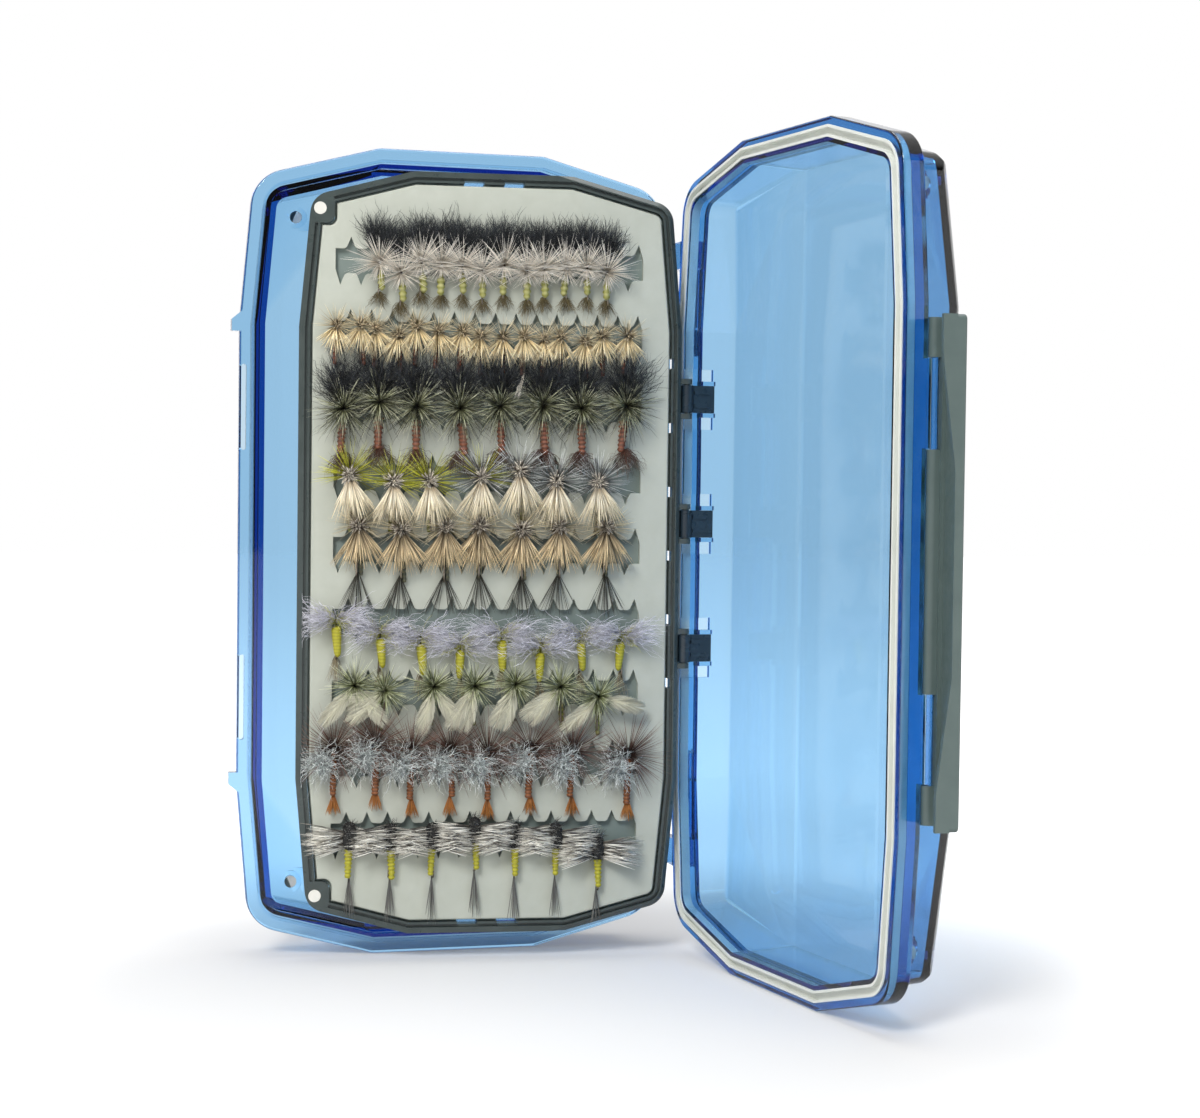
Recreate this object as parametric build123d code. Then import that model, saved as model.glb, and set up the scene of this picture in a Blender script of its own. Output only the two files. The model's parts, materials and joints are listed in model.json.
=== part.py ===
from build123d import *
import math
import os

# Swing-leaf fly box: two clear shells on a pinned hinge, a latch, a gasket and a slotted leaf with flies.
#
# The box stands on its short end, open like a book. All sizes are in millimetres, +Z is up.
# Each shell is drawn on its own rim plane: local Z runs from the rim into the shell's depth.

# where a block stands relative to its place
upright = (Align.CENTER, Align.CENTER, Align.MIN)
from_corner = (Align.MIN, Align.CENTER, Align.MIN)
from_left = (Align.MIN, Align.CENTER, Align.CENTER)
to_left = (Align.MAX, Align.CENTER, Align.MIN)

# ---- plan shared by both shells ----
width = 102.2
length = 186.0
end_flat = 38.8          # straight middle part of each short end
side_flat = 105.0        # straight middle part of each long side
corner_in_x = 2.9        # how far the corner is drawn in from the full width
corner_in_y = 7.7        # and from the full length
corner_radius = 9.0

# ---- shells ----
base_flange = 2.4
lid_flange = 5.0
flange_round = 0.5
shell_depth = 14.6       # rim to the back, at the long edges of the back
back_rise = 2.4          # extra depth of the flat middle panel
back_chamfer = 0.9
corner_drop = 1.9        # how much shallower the back is at its four corners
shell_wall = 2.0
wall_draft = 2.5         # degrees
base_wall_inset = 3.3    # outside of the base wall, in from the flange edge
base_mouth_inset = 4.5   # opening in the base flange, wide enough for the leaf to swing through
base_inner_inset = 5.9   # inside of the base wall, which steps in below the flange
lid_wall_inset = 3.1
lid_mouth_inset = 5.2
panel_half_width = 17.5

# ---- seal between the rims ----
rim_gap = 0.4            # left between the two flanges when the box is shut
seal_inset = 1.75
seal_width = 2.5
seal_lip = 0.55          # width of each of its two ridges
seal_depth = 2.35        # how deep it sits in the lid flange
seal_groove = 1.1        # depth of its groove below the rim
seal_proud = 0.25
seal_clear = 0.05
tongue_width = 0.6       # rib on the base rim that meets the seal
tongue_height = 0.6

# ---- main hinge ----
hinge_out = 2.7          # axis outside the flange edge
hinge_front = 4.9        # axis in front of the base rim
knuckle_radius = 2.2
knuckle_reach = 3.3      # how far the arms run into the flanges
knuckle_end = 74.0       # outer end of each hinge, from the middle
base_knuckle = 6.4
lid_knuckle = 13.6
knuckle_gap = 0.4
pin_radius = 1.0
pin_press = 0.02
running_clear = 0.08
lid_angle = 98.7         # how far the lid stands open

# ---- latch ----
latch_length = 99.6
latch_pivot_depth = 6.7  # below the lid rim
latch_pivot_in = 0.5     # inside the flange edge
latch_rod_radius = 0.8
latch_block_radius = 1.5
latch_face_clear = 0.3   # between the shut latch and the flange edges
latch_thickness = 2.0
latch_lip = 1.3
latch_lip_grip = 2.8     # how far the ends of the lip stand in from the latch's inner face
latch_lip_full = 7.2     # length of each end of the lip at its full grip
latch_lip_taper = 22.7   # length over which it dies away towards the middle
latch_lip_clear = 0.25
latch_mid_half = 24.0    # half the length of the middle knuckle
latch_bar = 17.6         # length of bare rod each side of it
latch_side_clear = 0.2
latch_scoop_depth = 0.8
latch_edge = 1.0
latch_corner = 1.1       # radius of the free corners of its plate
latch_round = 0.5        # round of its outer face
latch_open_angle = 76.0  # from shut
tab_out = 1.8            # stops on the base flange either side of the latch
tab_length = 5.4
tab_clear = 0.4
catch_slot_width = 1.2
catch_slot_length = 19.5
catch_slot_depth = 1.4   # into the base rim, not through it
catch_slot_in = 1.0      # slot centre in from the flange edge

# ---- swing leaf ----
leaf_thickness = 4.4
leaf_end_clear = 1.0     # to the lid mouth at each short end
leaf_free_clear = 0.6    # to the lid mouth at the free edge
leaf_pivot_in = 1.75     # pivot inside the lid mouth
leaf_pivot_up = 0.3      # pivot in front of the lid rim
leaf_edge_gap = 1.65     # pivot to the edge of the leaf
leaf_corner_radius = 5.0
leaf_corner_in_x = 2.6
leaf_corner_in_y = 6.2
leaf_taper = 2.2         # how much shorter its flats are than those of the mouth
leaf_angle = -7.0        # how far its free edge leans back towards the base
frame_width = 2.5
frame_groove = 0.7
frame_groove_in = 1.3
frame_groove_depth = 0.8
frame_chamfer = 1.0
core_thickness = 1.2
core_clear = 0.05
insert_gap = 0.5
insert_low = 0.1         # insert face below the frame face
insert_round = 0.4
window_length = 4.6
window_width = 1.3
end_window_x = (4.6, -4.6)
side_window_pitch = 14.8
side_windows = 6

# ---- leaf clips and their pockets in the lid wall ----
clip_centre = 7.5        # middle clip above the middle of the box
clip_pitch = 29.0
clip_height = 6.3
clip_depth = 6.8
clip_thickness = 2.1
clip_barrel_radius = 1.45
leaf_rod_radius = 0.8
ear_radius = 1.15
ear_thickness = 1.2
ear_clear = 0.25
pocket_height = 14.0
pocket_cut = 0.5
pocket_extra = 0.3
lug_thickness = 1.0

# ---- magnets ----
magnet_radius = 1.4
magnet_thickness = 1.5
magnet_clear = 0.03
magnet_in_y = 15.3       # in from the ends of the box
magnet_in_x = 14.1       # in from the latch side of the box
leaf_magnet_in_y = 8.9   # in from the ends of the leaf
leaf_magnet_in_x = 4.5   # in from the free edge of the leaf
boss_depth = 11.8        # rim to the top of each magnet boss in the shells
boss_radius = 2.6
pad_reach = 3.1          # each corner pad's edges, from the magnet towards the middle of the shell
pad_drop = 0.5           # pad top below boss top
block_side = 6.6
block_round = 1.8

# ---- slots in the leaf inserts ----
slot_rows = 9
slot_pitch = 16.3
slot_rows_up = 1.0       # middle row above the middle of the leaf
slot_rows_out = 0.7      # slots towards the free edge from the middle of the leaf
slot_height = 5.6
slot_length = 70.4
notch_pitch = 4.7
notch_mouth = 1.5        # half width of a notch at the slot's edge
notch_shoulder = 1.0     # half width just inside its mouth
notch_shoulder_depth = 0.3
notch_waist = 0.55       # half width part of the way in
notch_waist_depth = 1.25
notch_depth = 2.65
notch_end = 1.1          # corner notch, in from the slot's end
notch_end_start = 0.9    # where its outer flank leaves the slot's end wall

# ---- flies, one row to a slot ----
fly_clear = 0.3          # between a fly and the face of the insert
hook_radius = 0.3
hook_tip_clear = 0.3
# name: (how many, first and last in from the slot's two ends, collar radius, collar length, body length)
fly_rows = {
    "fly_row_1": (12, 9.5, 9.1, 1.9, 2.4, 5.0),
    "fly_row_2": (15, 1.2, 4.2, 1.7, 2.4, 4.6),
    "fly_row_3": (8, 1.7, 4.3, 2.3, 3.0, 6.4),
    "fly_row_4": (7, 3.2, 10.5, 2.2, 3.0, 6.0),
    "fly_row_5": (7, 5.3, 8.5, 2.2, 3.0, 6.0),
    "fly_row_6": (8, 1.2, 4.7, 2.0, 2.6, 7.0),
    "fly_row_7": (7, 4.7, 9.9, 2.3, 3.0, 6.0),
    "fly_row_8": (8, 1.2, 2.7, 2.5, 3.2, 6.0),
    "fly_row_9": (7, 3.9, 9.7, 2.0, 3.4, 7.6),
}
body_radius = 0.9

# ---- worked out from the sizes above ----
half_width = width / 2
half_length = length / 2
full_depth = shell_depth + back_rise
wall_slope = math.tan(math.radians(wall_draft))
shell_x = -(hinge_out + half_width)
base_rim_y = hinge_front
lid_rim_y = hinge_front - rim_gap
base_seat = Plane(origin=(shell_x, base_rim_y, 0), x_dir=(-1, 0, 0), z_dir=(0, 1, 0)).location
lid_plane = Plane(origin=(shell_x, lid_rim_y, 0), x_dir=(1, 0, 0), z_dir=(0, -1, 0))
lid_seat = Rot(0, 0, lid_angle) * lid_plane.location

leaf_pivot_x = half_width - lid_mouth_inset - leaf_pivot_in    # in the lid's own plan
leaf_width = width - 2 * lid_mouth_inset - leaf_pivot_in - leaf_edge_gap - leaf_free_clear
leaf_length = length - 2 * (lid_mouth_inset + leaf_end_clear)
leaf_middle = leaf_edge_gap + leaf_width / 2                   # from the pivot
leaf_pivot = (Rot(0, 0, lid_angle) * Pos(shell_x + leaf_pivot_x, lid_rim_y + leaf_pivot_up, 0)).position
leaf_plane = Plane(origin=(0, 0, 0), x_dir=(1, 0, 0), z_dir=(0, -1, 0))
leaf_seat = Pos(leaf_pivot) * Rot(0, 0, leaf_angle) * leaf_plane.location
leaf_face = leaf_thickness / 2
insert_face = leaf_face - insert_low
core_face = core_thickness / 2
insert_thickness = insert_face - core_face

latch_pivot = (-(half_width - latch_pivot_in), latch_pivot_depth)
latch_block_half = latch_length / 2
catch_depth = latch_pivot_depth + rim_gap + base_flange         # pivot to the back of the base flange
latch_reach = catch_depth + latch_lip_clear + latch_lip
latch_face_out = latch_pivot_in + latch_face_clear              # pivot to the latch's inner face
latch_bar_middle = latch_mid_half + latch_side_clear + latch_bar / 2
magnet_x = half_width - magnet_in_x
magnet_y = half_length - magnet_in_y
clip_heights = [clip_centre + step * clip_pitch for step in (1, 0, -1)]
magnet_ends = {"upper": 1, "lower": -1}


def bowed_outline(w, l, flat_x, flat_y, in_x, in_y, radius, inset=0.0):
    """A rectangle whose four sides each bow out in three straight runs, with rounded corners."""
    quarter = [(w / 2, flat_y / 2), (w / 2 - in_x, l / 2 - in_y), (flat_x / 2, l / 2)]
    first_half = quarter + [(-x, y) for x, y in reversed(quarter)]
    points = first_half + [(-x, -y) for x, y in first_half]
    face = make_face(Polyline(*points, close=True))
    if inset:
        face = offset(face, amount=-inset, kind=Kind.INTERSECTION)
    corners = sorted(face.vertices(), key=lambda v: abs(v.X) + abs(v.Y))[-4:]
    return fillet(corners, radius=max(radius - inset, 1.0))


def outline(inset=0.0):
    return bowed_outline(width, length, end_flat, side_flat, corner_in_x, corner_in_y, corner_radius, inset)


def leaf_outline(inset=0.0):
    face = bowed_outline(leaf_width, leaf_length, end_flat - leaf_taper, side_flat - leaf_taper,
                         leaf_corner_in_x, leaf_corner_in_y, leaf_corner_radius, inset)
    return Pos(-leaf_middle, 0) * face


def ring(outer_inset, inner_inset, low, high):
    return Pos(0, 0, low) * extrude(outline(outer_inset) - outline(inner_inset), amount=high - low)


def back_points(inset, depth):
    """One quarter of the edge where the walls meet the back, from the long side round to the short end."""
    edge_x = half_width - inset - depth * wall_slope
    edge_y = half_length - inset - depth * wall_slope
    deep = depth + back_rise
    return [Vector(edge_x, 0, depth), Vector(edge_x, side_flat / 2, depth),
            Vector(edge_x - corner_in_x, edge_y - corner_in_y, depth - corner_drop),
            Vector(end_flat / 2, edge_y, deep), Vector(0, edge_y, deep)]


def tray(inset, low, depth):
    """A drafted tray from `low` down. Its back slopes from a flat middle to the long edges and corners."""
    deep = depth + back_rise
    back = Pos(0, 0, deep) * outline(inset + deep * wall_slope)
    body = loft([Pos(0, 0, low) * outline(inset), back], ruled=True)
    _, edge_end, corner, panel_end, _ = back_points(inset, depth)
    for x_sign in (1, -1):
        crease = Vector(x_sign * panel_half_width, 0, deep)
        long_edge = Vector(x_sign * edge_end.X, 0, depth)
        body = cut_above(body, crease, crease + Vector(0, 1, 0), long_edge)
        for y_sign in (1, -1):
            facet = (panel_end, edge_end, corner)
            body = cut_above(body, *[Vector(x_sign * p.X, y_sign * p.Y, p.Z) for p in facet])
    return body


def chamfered_back(body, inset, depth):
    """Breaks the edges where the walls meet the back, one straight run at a time."""
    points = back_points(inset, depth)
    for start, end in zip(points, points[1:]):
        inward = (end - start).cross(Vector(0, 0, 1)).normalized() * -back_chamfer
        for x_sign in (1, -1):
            for y_sign in (1, -1):
                plane = (start + inward, end + inward, start - Vector(0, 0, back_chamfer))
                body = cut_above(body, *[Vector(x_sign * p.X, y_sign * p.Y, p.Z) for p in plane])
    return body


def cut_above(body, first, second, third):
    """Takes off what lies above the plane through three points."""
    normal = (second - first).cross(third - first)
    up = normal if normal.Z > 0 else normal * -1
    return split(body, bisect_by=Plane(origin=first, z_dir=up), keep=Keep.BOTTOM)


def flange(thickness):
    plate = extrude(outline(), amount=thickness)
    faces = plate.faces().sort_by(Axis.Z)
    return fillet(faces[0].edges() + faces[-1].edges(), radius=flange_round)


def knuckles(bore_radius, spans, arm):
    """Barrels on the hinge axis with their arms, bored through, for each (low, high) span along Z."""
    group = None
    for low, high in spans:
        barrel = Pos(0, 0, low) * Cylinder(knuckle_radius, high - low, align=upright)
        piece = barrel + Pos(0, 0, low) * extrude(arm, amount=high - low)
        group = piece if group is None else group + piece
    return group, Cylinder(bore_radius, 2 * knuckle_end + 1)


def mirrored_spans(spans):
    return spans + [(-high, -low) for low, high in spans]


def base_knuckle_spans():
    inner_end = knuckle_end - 2 * base_knuckle - lid_knuckle - 2 * knuckle_gap
    return mirrored_spans([(knuckle_end - base_knuckle, knuckle_end), (inner_end, inner_end + base_knuckle)])


def lid_knuckle_spans():
    top = knuckle_end - base_knuckle - knuckle_gap
    return mirrored_spans([(top - lid_knuckle, top)])


def magnet_disc(top):
    return Pos(0, 0, top) * Cylinder(magnet_radius, magnet_thickness, align=upright)


def magnet_hole(top):
    depth = magnet_thickness + magnet_clear
    radius = magnet_radius + magnet_clear
    return Pos(0, 0, top) * Cylinder(radius, depth, align=upright)


def corner_boss(latch_sign, end_sign, body):
    """A level pad in one latch-side corner of the floor, with a low round boss for the magnet."""
    x, y = latch_sign * magnet_x, end_sign * magnet_y
    boss = Pos(x, y, boss_depth) * Cylinder(boss_radius, full_depth, align=upright)
    side = half_width - magnet_x + pad_reach
    end = half_length - magnet_y + pad_reach
    pad = Box(side, end, full_depth, align=upright)
    place = (latch_sign * (half_width - side / 2), end_sign * (half_length - end / 2), boss_depth + pad_drop)
    return (boss + Pos(*place) * pad) & body


def base_shell():
    outer = chamfered_back(tray(base_wall_inset, 0, shell_depth), base_wall_inset, shell_depth)
    inner = tray(base_inner_inset, -1, shell_depth - shell_wall)
    mouth = extrude(outline(base_mouth_inset), amount=base_flange)
    seal_middle = seal_inset + seal_width / 2
    tongue = ring(seal_middle - tongue_width / 2, seal_middle + tongue_width / 2, -tongue_height, flange_round)
    shell = flange(base_flange) + (outer - inner) - mouth + tongue
    for end_sign in magnet_ends.values():
        shell += corner_boss(1, end_sign, outer)
        shell -= Pos(magnet_x, end_sign * magnet_y, 0) * magnet_hole(boss_depth)
        shell += latch_tab(end_sign)
        slot = SlotOverall(catch_slot_length, catch_slot_width, rotation=90)
        slot_place = Pos(half_width - catch_slot_in, end_sign * latch_bar_middle, 0)
        shell -= slot_place * extrude(slot, amount=catch_slot_depth)
    root_x = -(hinge_out + knuckle_reach)
    rim = base_rim_y
    arm = make_face(Polyline((root_x, rim), (-knuckle_radius, rim), (-knuckle_radius, 0), (knuckle_radius, 0),
                             (knuckle_radius, rim + base_flange), (root_x, rim + base_flange), close=True))
    barrels, bore = knuckles(pin_radius + pin_press, base_knuckle_spans(), arm)
    return base_seat * shell + barrels - bore


def latch_tab(end_sign):
    inner = latch_length / 2 + tab_clear
    outer = inner + tab_length
    edge = half_width - corner_in_x / 2
    face = make_face(Polyline((edge, inner), (half_width + tab_out, inner),
                              (half_width + tab_out, inner + tab_length / 2), (edge, outer), close=True))
    tab = extrude(face, amount=base_flange)
    return tab if end_sign > 0 else mirror(tab, about=Plane.XZ)


def lid_shell():
    outer = chamfered_back(tray(lid_wall_inset, 0, shell_depth), lid_wall_inset, shell_depth)
    inner = tray(lid_mouth_inset, -1, shell_depth - shell_wall)
    plate = flange(lid_flange) - extrude(outline(lid_mouth_inset), amount=lid_flange)
    channel = ring(seal_inset - seal_clear, seal_inset + seal_width + seal_clear, -1, seal_depth + seal_clear)
    shell = plate + (outer - inner) - channel
    for end_sign in magnet_ends.values():
        shell += corner_boss(-1, end_sign, outer)
        shell -= Pos(-magnet_x, end_sign * magnet_y, 0) * magnet_hole(boss_depth)
    for height in clip_heights:
        shell -= Pos(0, height, 0) * clip_pocket()
        shell += Pos(0, height, 0) * clip_lugs()
    shell += latch_rod()
    root_x = -(hinge_out + knuckle_reach)
    low = lid_rim_y - lid_flange
    high = lid_rim_y - seal_depth - flange_round
    arm = make_face(Polyline((root_x, low), (0, low), (0, high), (root_x, high), close=True))
    barrels, bore = knuckles(pin_radius + running_clear, lid_knuckle_spans(), arm)
    return lid_seat * shell + Rot(0, 0, lid_angle) * (barrels - bore)


def clip_pocket():
    """The cut in the lid's hinge-side wall that one clip sits in."""
    back = half_width - lid_mouth_inset + pocket_cut
    front = leaf_pivot_x - clip_barrel_radius
    size = (back - front, pocket_height, clip_depth + pocket_extra)
    return Pos(front, 0, 0) * Box(*size, align=from_corner)


def clip_lugs():
    """Two small posts that hold a clip from above and below."""
    back = half_width - lid_mouth_inset + pocket_cut
    front = back - clip_thickness
    lugs = None
    for side in (1, -1):
        place = Pos(front, side * (clip_height / 2 + seal_clear + lug_thickness / 2), clip_depth / 2)
        lug = place * Box(clip_thickness, lug_thickness, clip_depth / 2 + pocket_extra, align=from_corner)
        lugs = lug if lugs is None else lugs + lug
    return lugs


def latch_rod():
    """The moulded rod that the latch turns on, with a web under each of its bare stretches."""
    x, z = latch_pivot
    rod = Pos(x, 0, z) * Rot(90, 0, 0) * Cylinder(latch_rod_radius, latch_length)
    low = lid_flange - flange_round
    high = z - latch_rod_radius / 4
    reach = lid_wall_inset - latch_pivot_in + shell_wall / 4
    for end_sign in (1, -1):
        rod += Pos(x, end_sign * latch_bar_middle, low) * Box(reach, latch_bar, high - low, align=from_corner)
    return rod


def lid_gasket():
    outer = seal_inset
    inner = seal_inset + seal_width
    body = ring(outer, inner, seal_groove, seal_depth)
    ridges = ring(outer, outer + seal_lip, -seal_proud, seal_groove)
    ridges += ring(inner - seal_lip, inner, -seal_proud, seal_groove)
    return lid_seat * (body + ridges)


def hinge_pin(end_sign):
    hinge_length = 2 * base_knuckle + lid_knuckle + 2 * knuckle_gap
    middle = end_sign * (knuckle_end - hinge_length / 2)
    return Pos(0, 0, middle) * chamfer(Cylinder(pin_radius, hinge_length).edges(), length=0.2)


def latch():
    """Drawn shut on the lid's plan, then turned open about its rod."""
    x, z = latch_pivot
    face_x = -latch_face_out
    outer_x = face_x - latch_thickness
    profile = make_face(Polyline((face_x, latch_side_clear), (outer_x, latch_side_clear), (outer_x, -latch_reach),
                                 (face_x, -latch_reach), close=True))
    plate = extrude(Plane.XZ * profile, amount=latch_length / 2, both=True)
    plate = fillet(plate.edges().filter_by(Axis.X).group_by(Axis.Z)[0], radius=latch_corner)
    plate = fillet(plate.faces().sort_by(Axis.X)[0].edges(), radius=latch_round)
    body = plate - latch_scoop(face_x) + latch_blocks()
    for end_sign in (1, -1):
        body += latch_lip_end(face_x, end_sign)
    bore = Rot(90, 0, 0) * Cylinder(latch_rod_radius + running_clear, latch_length + 1)
    slit = Pos(0, 0, latch_block_radius) * Box(latch_rod_radius, latch_length, latch_block_radius)
    return lid_seat * Pos(x, 0, z) * Rot(0, latch_open_angle, 0) * (body - bore - slit)


def latch_blocks():
    end_low = latch_mid_half + latch_bar + 2 * latch_side_clear
    blocks = None
    for low, high in mirrored_spans([(end_low, latch_block_half)]) + [(-latch_mid_half, latch_mid_half)]:
        middle = (low + high) / 2
        barrel = Pos(0, middle, 0) * Rot(90, 0, 0) * Cylinder(latch_block_radius, high - low)
        neck = Pos(-latch_face_out, middle, 0) * Box(latch_face_out, high - low, 2 * latch_block_radius,
                                                     align=from_left)
        piece = barrel + neck
        blocks = piece if blocks is None else blocks + piece
    return blocks


def latch_lip_end(face_x, end_sign):
    """One end of the lip: full at the end of the latch, dying away towards its middle."""
    tip = end_sign * latch_length / 2
    full = tip - end_sign * latch_lip_full
    faded = full - end_sign * latch_lip_taper
    face = make_face(Polyline((face_x, tip), (face_x + latch_lip_grip, tip), (face_x + latch_lip_grip, full),
                              (face_x, faded), close=True))
    return Pos(0, 0, -latch_reach) * extrude(face, amount=latch_lip, dir=(0, 0, 1))


def latch_scoop(face_x):
    """A long hollow in the latch's inner face, wide in the middle and pinched at the ends."""
    near = latch_block_radius + latch_edge
    far = latch_reach - latch_lip
    half = latch_length / 2 - latch_lip_full
    waist = half - latch_lip_taper
    face = make_face(Polyline((half, -near), (waist, -far), (-waist, -far), (-half, -near), close=True))
    return Pos(face_x, 0, 0) * extrude(Plane.YZ * face, amount=-latch_scoop_depth)


def leaf_frame():
    body = extrude(leaf_outline() - leaf_outline(frame_width), amount=leaf_face, both=True)
    edges = body.edges().filter_by(Axis.Y).group_by(Axis.X)[-1]
    body = chamfer(edges, length=frame_chamfer)
    for side in (1, -1):
        groove = leaf_outline(frame_groove_in) - leaf_outline(frame_groove_in + frame_groove)
        body -= Pos(0, 0, side * (leaf_face - frame_groove_depth / 2)) * extrude(groove, amount=frame_groove_depth / 2,
                                                                                both=True)
    body -= frame_windows()
    for end_sign in magnet_ends.values():
        body += magnet_block(end_sign)
    for height in clip_heights:
        body += Pos(0, height, 0) * leaf_ears()
    body -= magnet_holes()
    return leaf_seat * body


def leaf_magnet_place(end_sign):
    x = leaf_edge_gap + leaf_width - leaf_magnet_in_x
    return Pos(-x, end_sign * (leaf_length / 2 - leaf_magnet_in_y), 0)


def magnet_block(end_sign):
    corner = RectangleRounded(block_side, block_side, block_round)
    block = extrude(corner, amount=leaf_face, both=True)
    return leaf_magnet_place(end_sign) * block & extrude(leaf_outline(), amount=leaf_face, both=True)


def magnet_holes():
    holes = None
    for end_sign in magnet_ends.values():
        hole = leaf_magnet_place(end_sign) * Pos(0, 0, leaf_face - magnet_thickness - magnet_clear) \
            * Cylinder(magnet_radius + magnet_clear, leaf_thickness, align=upright)
        holes = hole if holes is None else holes + hole
    return holes


def window_places():
    """Where the snap windows lie along the inner edge of the frame."""
    end_y = leaf_length / 2 - frame_width
    side_x = -(leaf_edge_gap + frame_width)
    places = [(x - leaf_middle, sign * end_y, 0) for x in end_window_x for sign in (1, -1)]
    first = clip_centre + side_window_pitch * (side_windows - 1) / 2
    places += [(side_x, first - step * side_window_pitch, 90) for step in range(side_windows)]
    return places


def frame_windows():
    windows = None
    for x, y, turn in window_places():
        long_side = window_length if turn == 0 else window_length / 2
        window = Pos(x, y, 0) * Rot(0, 0, turn) * Box(long_side, window_width, 2 * leaf_thickness)
        windows = window if windows is None else windows + window
    return windows


def leaf_ears():
    """A short rod on two ears, standing off the leaf's edge, that one clip holds."""
    span = clip_height + 2 * (ear_clear + ear_thickness)
    rod = Rot(90, 0, 0) * Cylinder(leaf_rod_radius, span)
    for side in (1, -1):
        middle = side * (span - ear_thickness) / 2
        rod += Pos(0, middle, 0) * Rot(90, 0, 0) * Cylinder(ear_radius, ear_thickness)
        rod += Pos(0, middle, 0) * Box(leaf_edge_gap + frame_groove_in, ear_thickness, 2 * ear_radius,
                                       align=(Align.MAX, Align.CENTER, Align.CENTER))
    return rod


def leaf_clip():
    """Grips the leaf's rod at the rim and fills its pocket down the lid wall."""
    drop = leaf_pivot_up
    back = half_width - lid_mouth_inset + pocket_cut - core_clear
    barrel = Pos(leaf_pivot_x, 0, -drop) * Rot(90, 0, 0) * Cylinder(clip_barrel_radius, clip_height)
    plate = Pos(back, 0, seal_clear) * Box(clip_thickness, clip_height, clip_depth, align=to_left)
    for side in (1, -1):
        plate += Pos(back - clip_thickness, side * clip_height / 4, seal_clear + clip_barrel_radius) \
            * Box(0.4, 0.8, clip_depth - 2 * clip_barrel_radius, align=to_left)
    neck = Pos(leaf_pivot_x, 0, -drop) * Box(clip_barrel_radius, clip_height, clip_barrel_radius + drop + 1,
                                             align=from_corner)
    bore = Cylinder(leaf_rod_radius + running_clear, clip_height + 1)
    bore = Pos(leaf_pivot_x, 0, -drop) * Rot(90, 0, 0) * bore
    slit = Box(leaf_rod_radius, clip_height + 1, clip_barrel_radius)
    slit = Pos(leaf_pivot_x, 0, -drop - clip_barrel_radius) * slit
    trim = Pos(leaf_pivot_x - clip_barrel_radius, 0, -drop) * Box(back - leaf_pivot_x + clip_barrel_radius, clip_height,
                                                                  clip_depth * 2, align=from_left)
    return (barrel + (neck & trim) + plate) - bore - slit


def leaf_core():
    plate = extrude(leaf_outline(frame_width + core_clear), amount=core_face, both=True)
    plate -= frame_windows()
    for end_sign in magnet_ends.values():
        plate -= leaf_magnet_place(end_sign) * block_clearance(core_clear, leaf_thickness)
    return leaf_seat * plate


def block_clearance(clear, height):
    side = block_side + 2 * clear
    return extrude(RectangleRounded(side, side, block_round), amount=height, both=True)


def slot_outline():
    """A band with curved V notches along both edges, one row starting in one corner, the other opposite."""
    half_l, half_h = slot_length / 2, slot_height / 2
    points = [(-half_l, half_h)] + notch_run(half_l, half_h)
    return make_face(Polyline(*points, *[(-x, -y) for x, y in points], close=True))


def notch_run(end, edge):
    """Points from left to right, closing with the notch in the corner."""
    flank = [(notch_mouth, edge), (notch_shoulder, edge + notch_shoulder_depth),
             (notch_waist, edge + notch_waist_depth)]
    last = end - notch_end
    count = int((slot_length - notch_end - notch_mouth) // notch_pitch)
    points = []
    for index in range(count, 0, -1):
        x = last - index * notch_pitch
        points += [(x - out, y) for out, y in flank] + [(x, edge + notch_depth)]
        points += [(x + out, y) for out, y in reversed(flank)]
    points += [(last - out, y) for out, y in flank] + [(last, edge + notch_depth)]
    return points + [(end, edge - notch_end_start)]


def slot_row_heights():
    return [slot_rows_up + ((slot_rows - 1) / 2 - index) * slot_pitch for index in range(slot_rows)]


def leaf_insert(face_sign):
    plan = leaf_outline(frame_width + insert_gap)
    for end_sign in magnet_ends.values():
        side = block_side + 2 * insert_gap
        plan -= leaf_magnet_place(end_sign) * RectangleRounded(side, side, block_round)
    plate = Pos(0, 0, core_face) * extrude(plan, amount=insert_thickness)
    plate = fillet(plate.faces().sort_by(Axis.Z)[-1].edges(), radius=insert_round)
    slot = extrude(slot_outline(), amount=leaf_thickness)
    slots = [Pos(-leaf_middle - slot_rows_out, height, 0) * slot for height in slot_row_heights()]
    plate -= slots
    if face_sign < 0:
        plate = mirror(plate, about=Plane.XY)
    return leaf_seat * plate


def fly(collar_radius, collar_length, body_length):
    """One fly with its shank upright: a hackle collar, a slim body and a hook point down in the slot."""
    shank = insert_face + fly_clear + collar_radius
    top = body_length / 2
    collar = Pos(0, top, shank) * Rot(90, 0, 0) * Cylinder(collar_radius, collar_length,
                                                           align=(Align.CENTER, Align.CENTER, Align.CENTER))
    body = Pos(0, 0, shank) * Rot(90, 0, 0) * Cylinder(body_radius, body_length)
    point_low = core_face + hook_tip_clear
    point = Pos(0, 0, point_low) * Cylinder(hook_radius, shank - point_low, align=upright)
    return fillet(collar.edges(), radius=collar_length / 3) + body + point


def fly_row(name, height):
    count, free_margin, hinge_margin, collar_radius, collar_length, body_length = fly_rows[name]
    one = fly(collar_radius, collar_length, body_length)
    first = -leaf_middle - slot_rows_out - slot_length / 2 + free_margin
    pitch = (slot_length - free_margin - hinge_margin) / (count - 1)
    places = [Pos(first + index * pitch, height, 0) for index in range(count)]
    return leaf_seat * Compound(children=[place * one for place in places])


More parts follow.
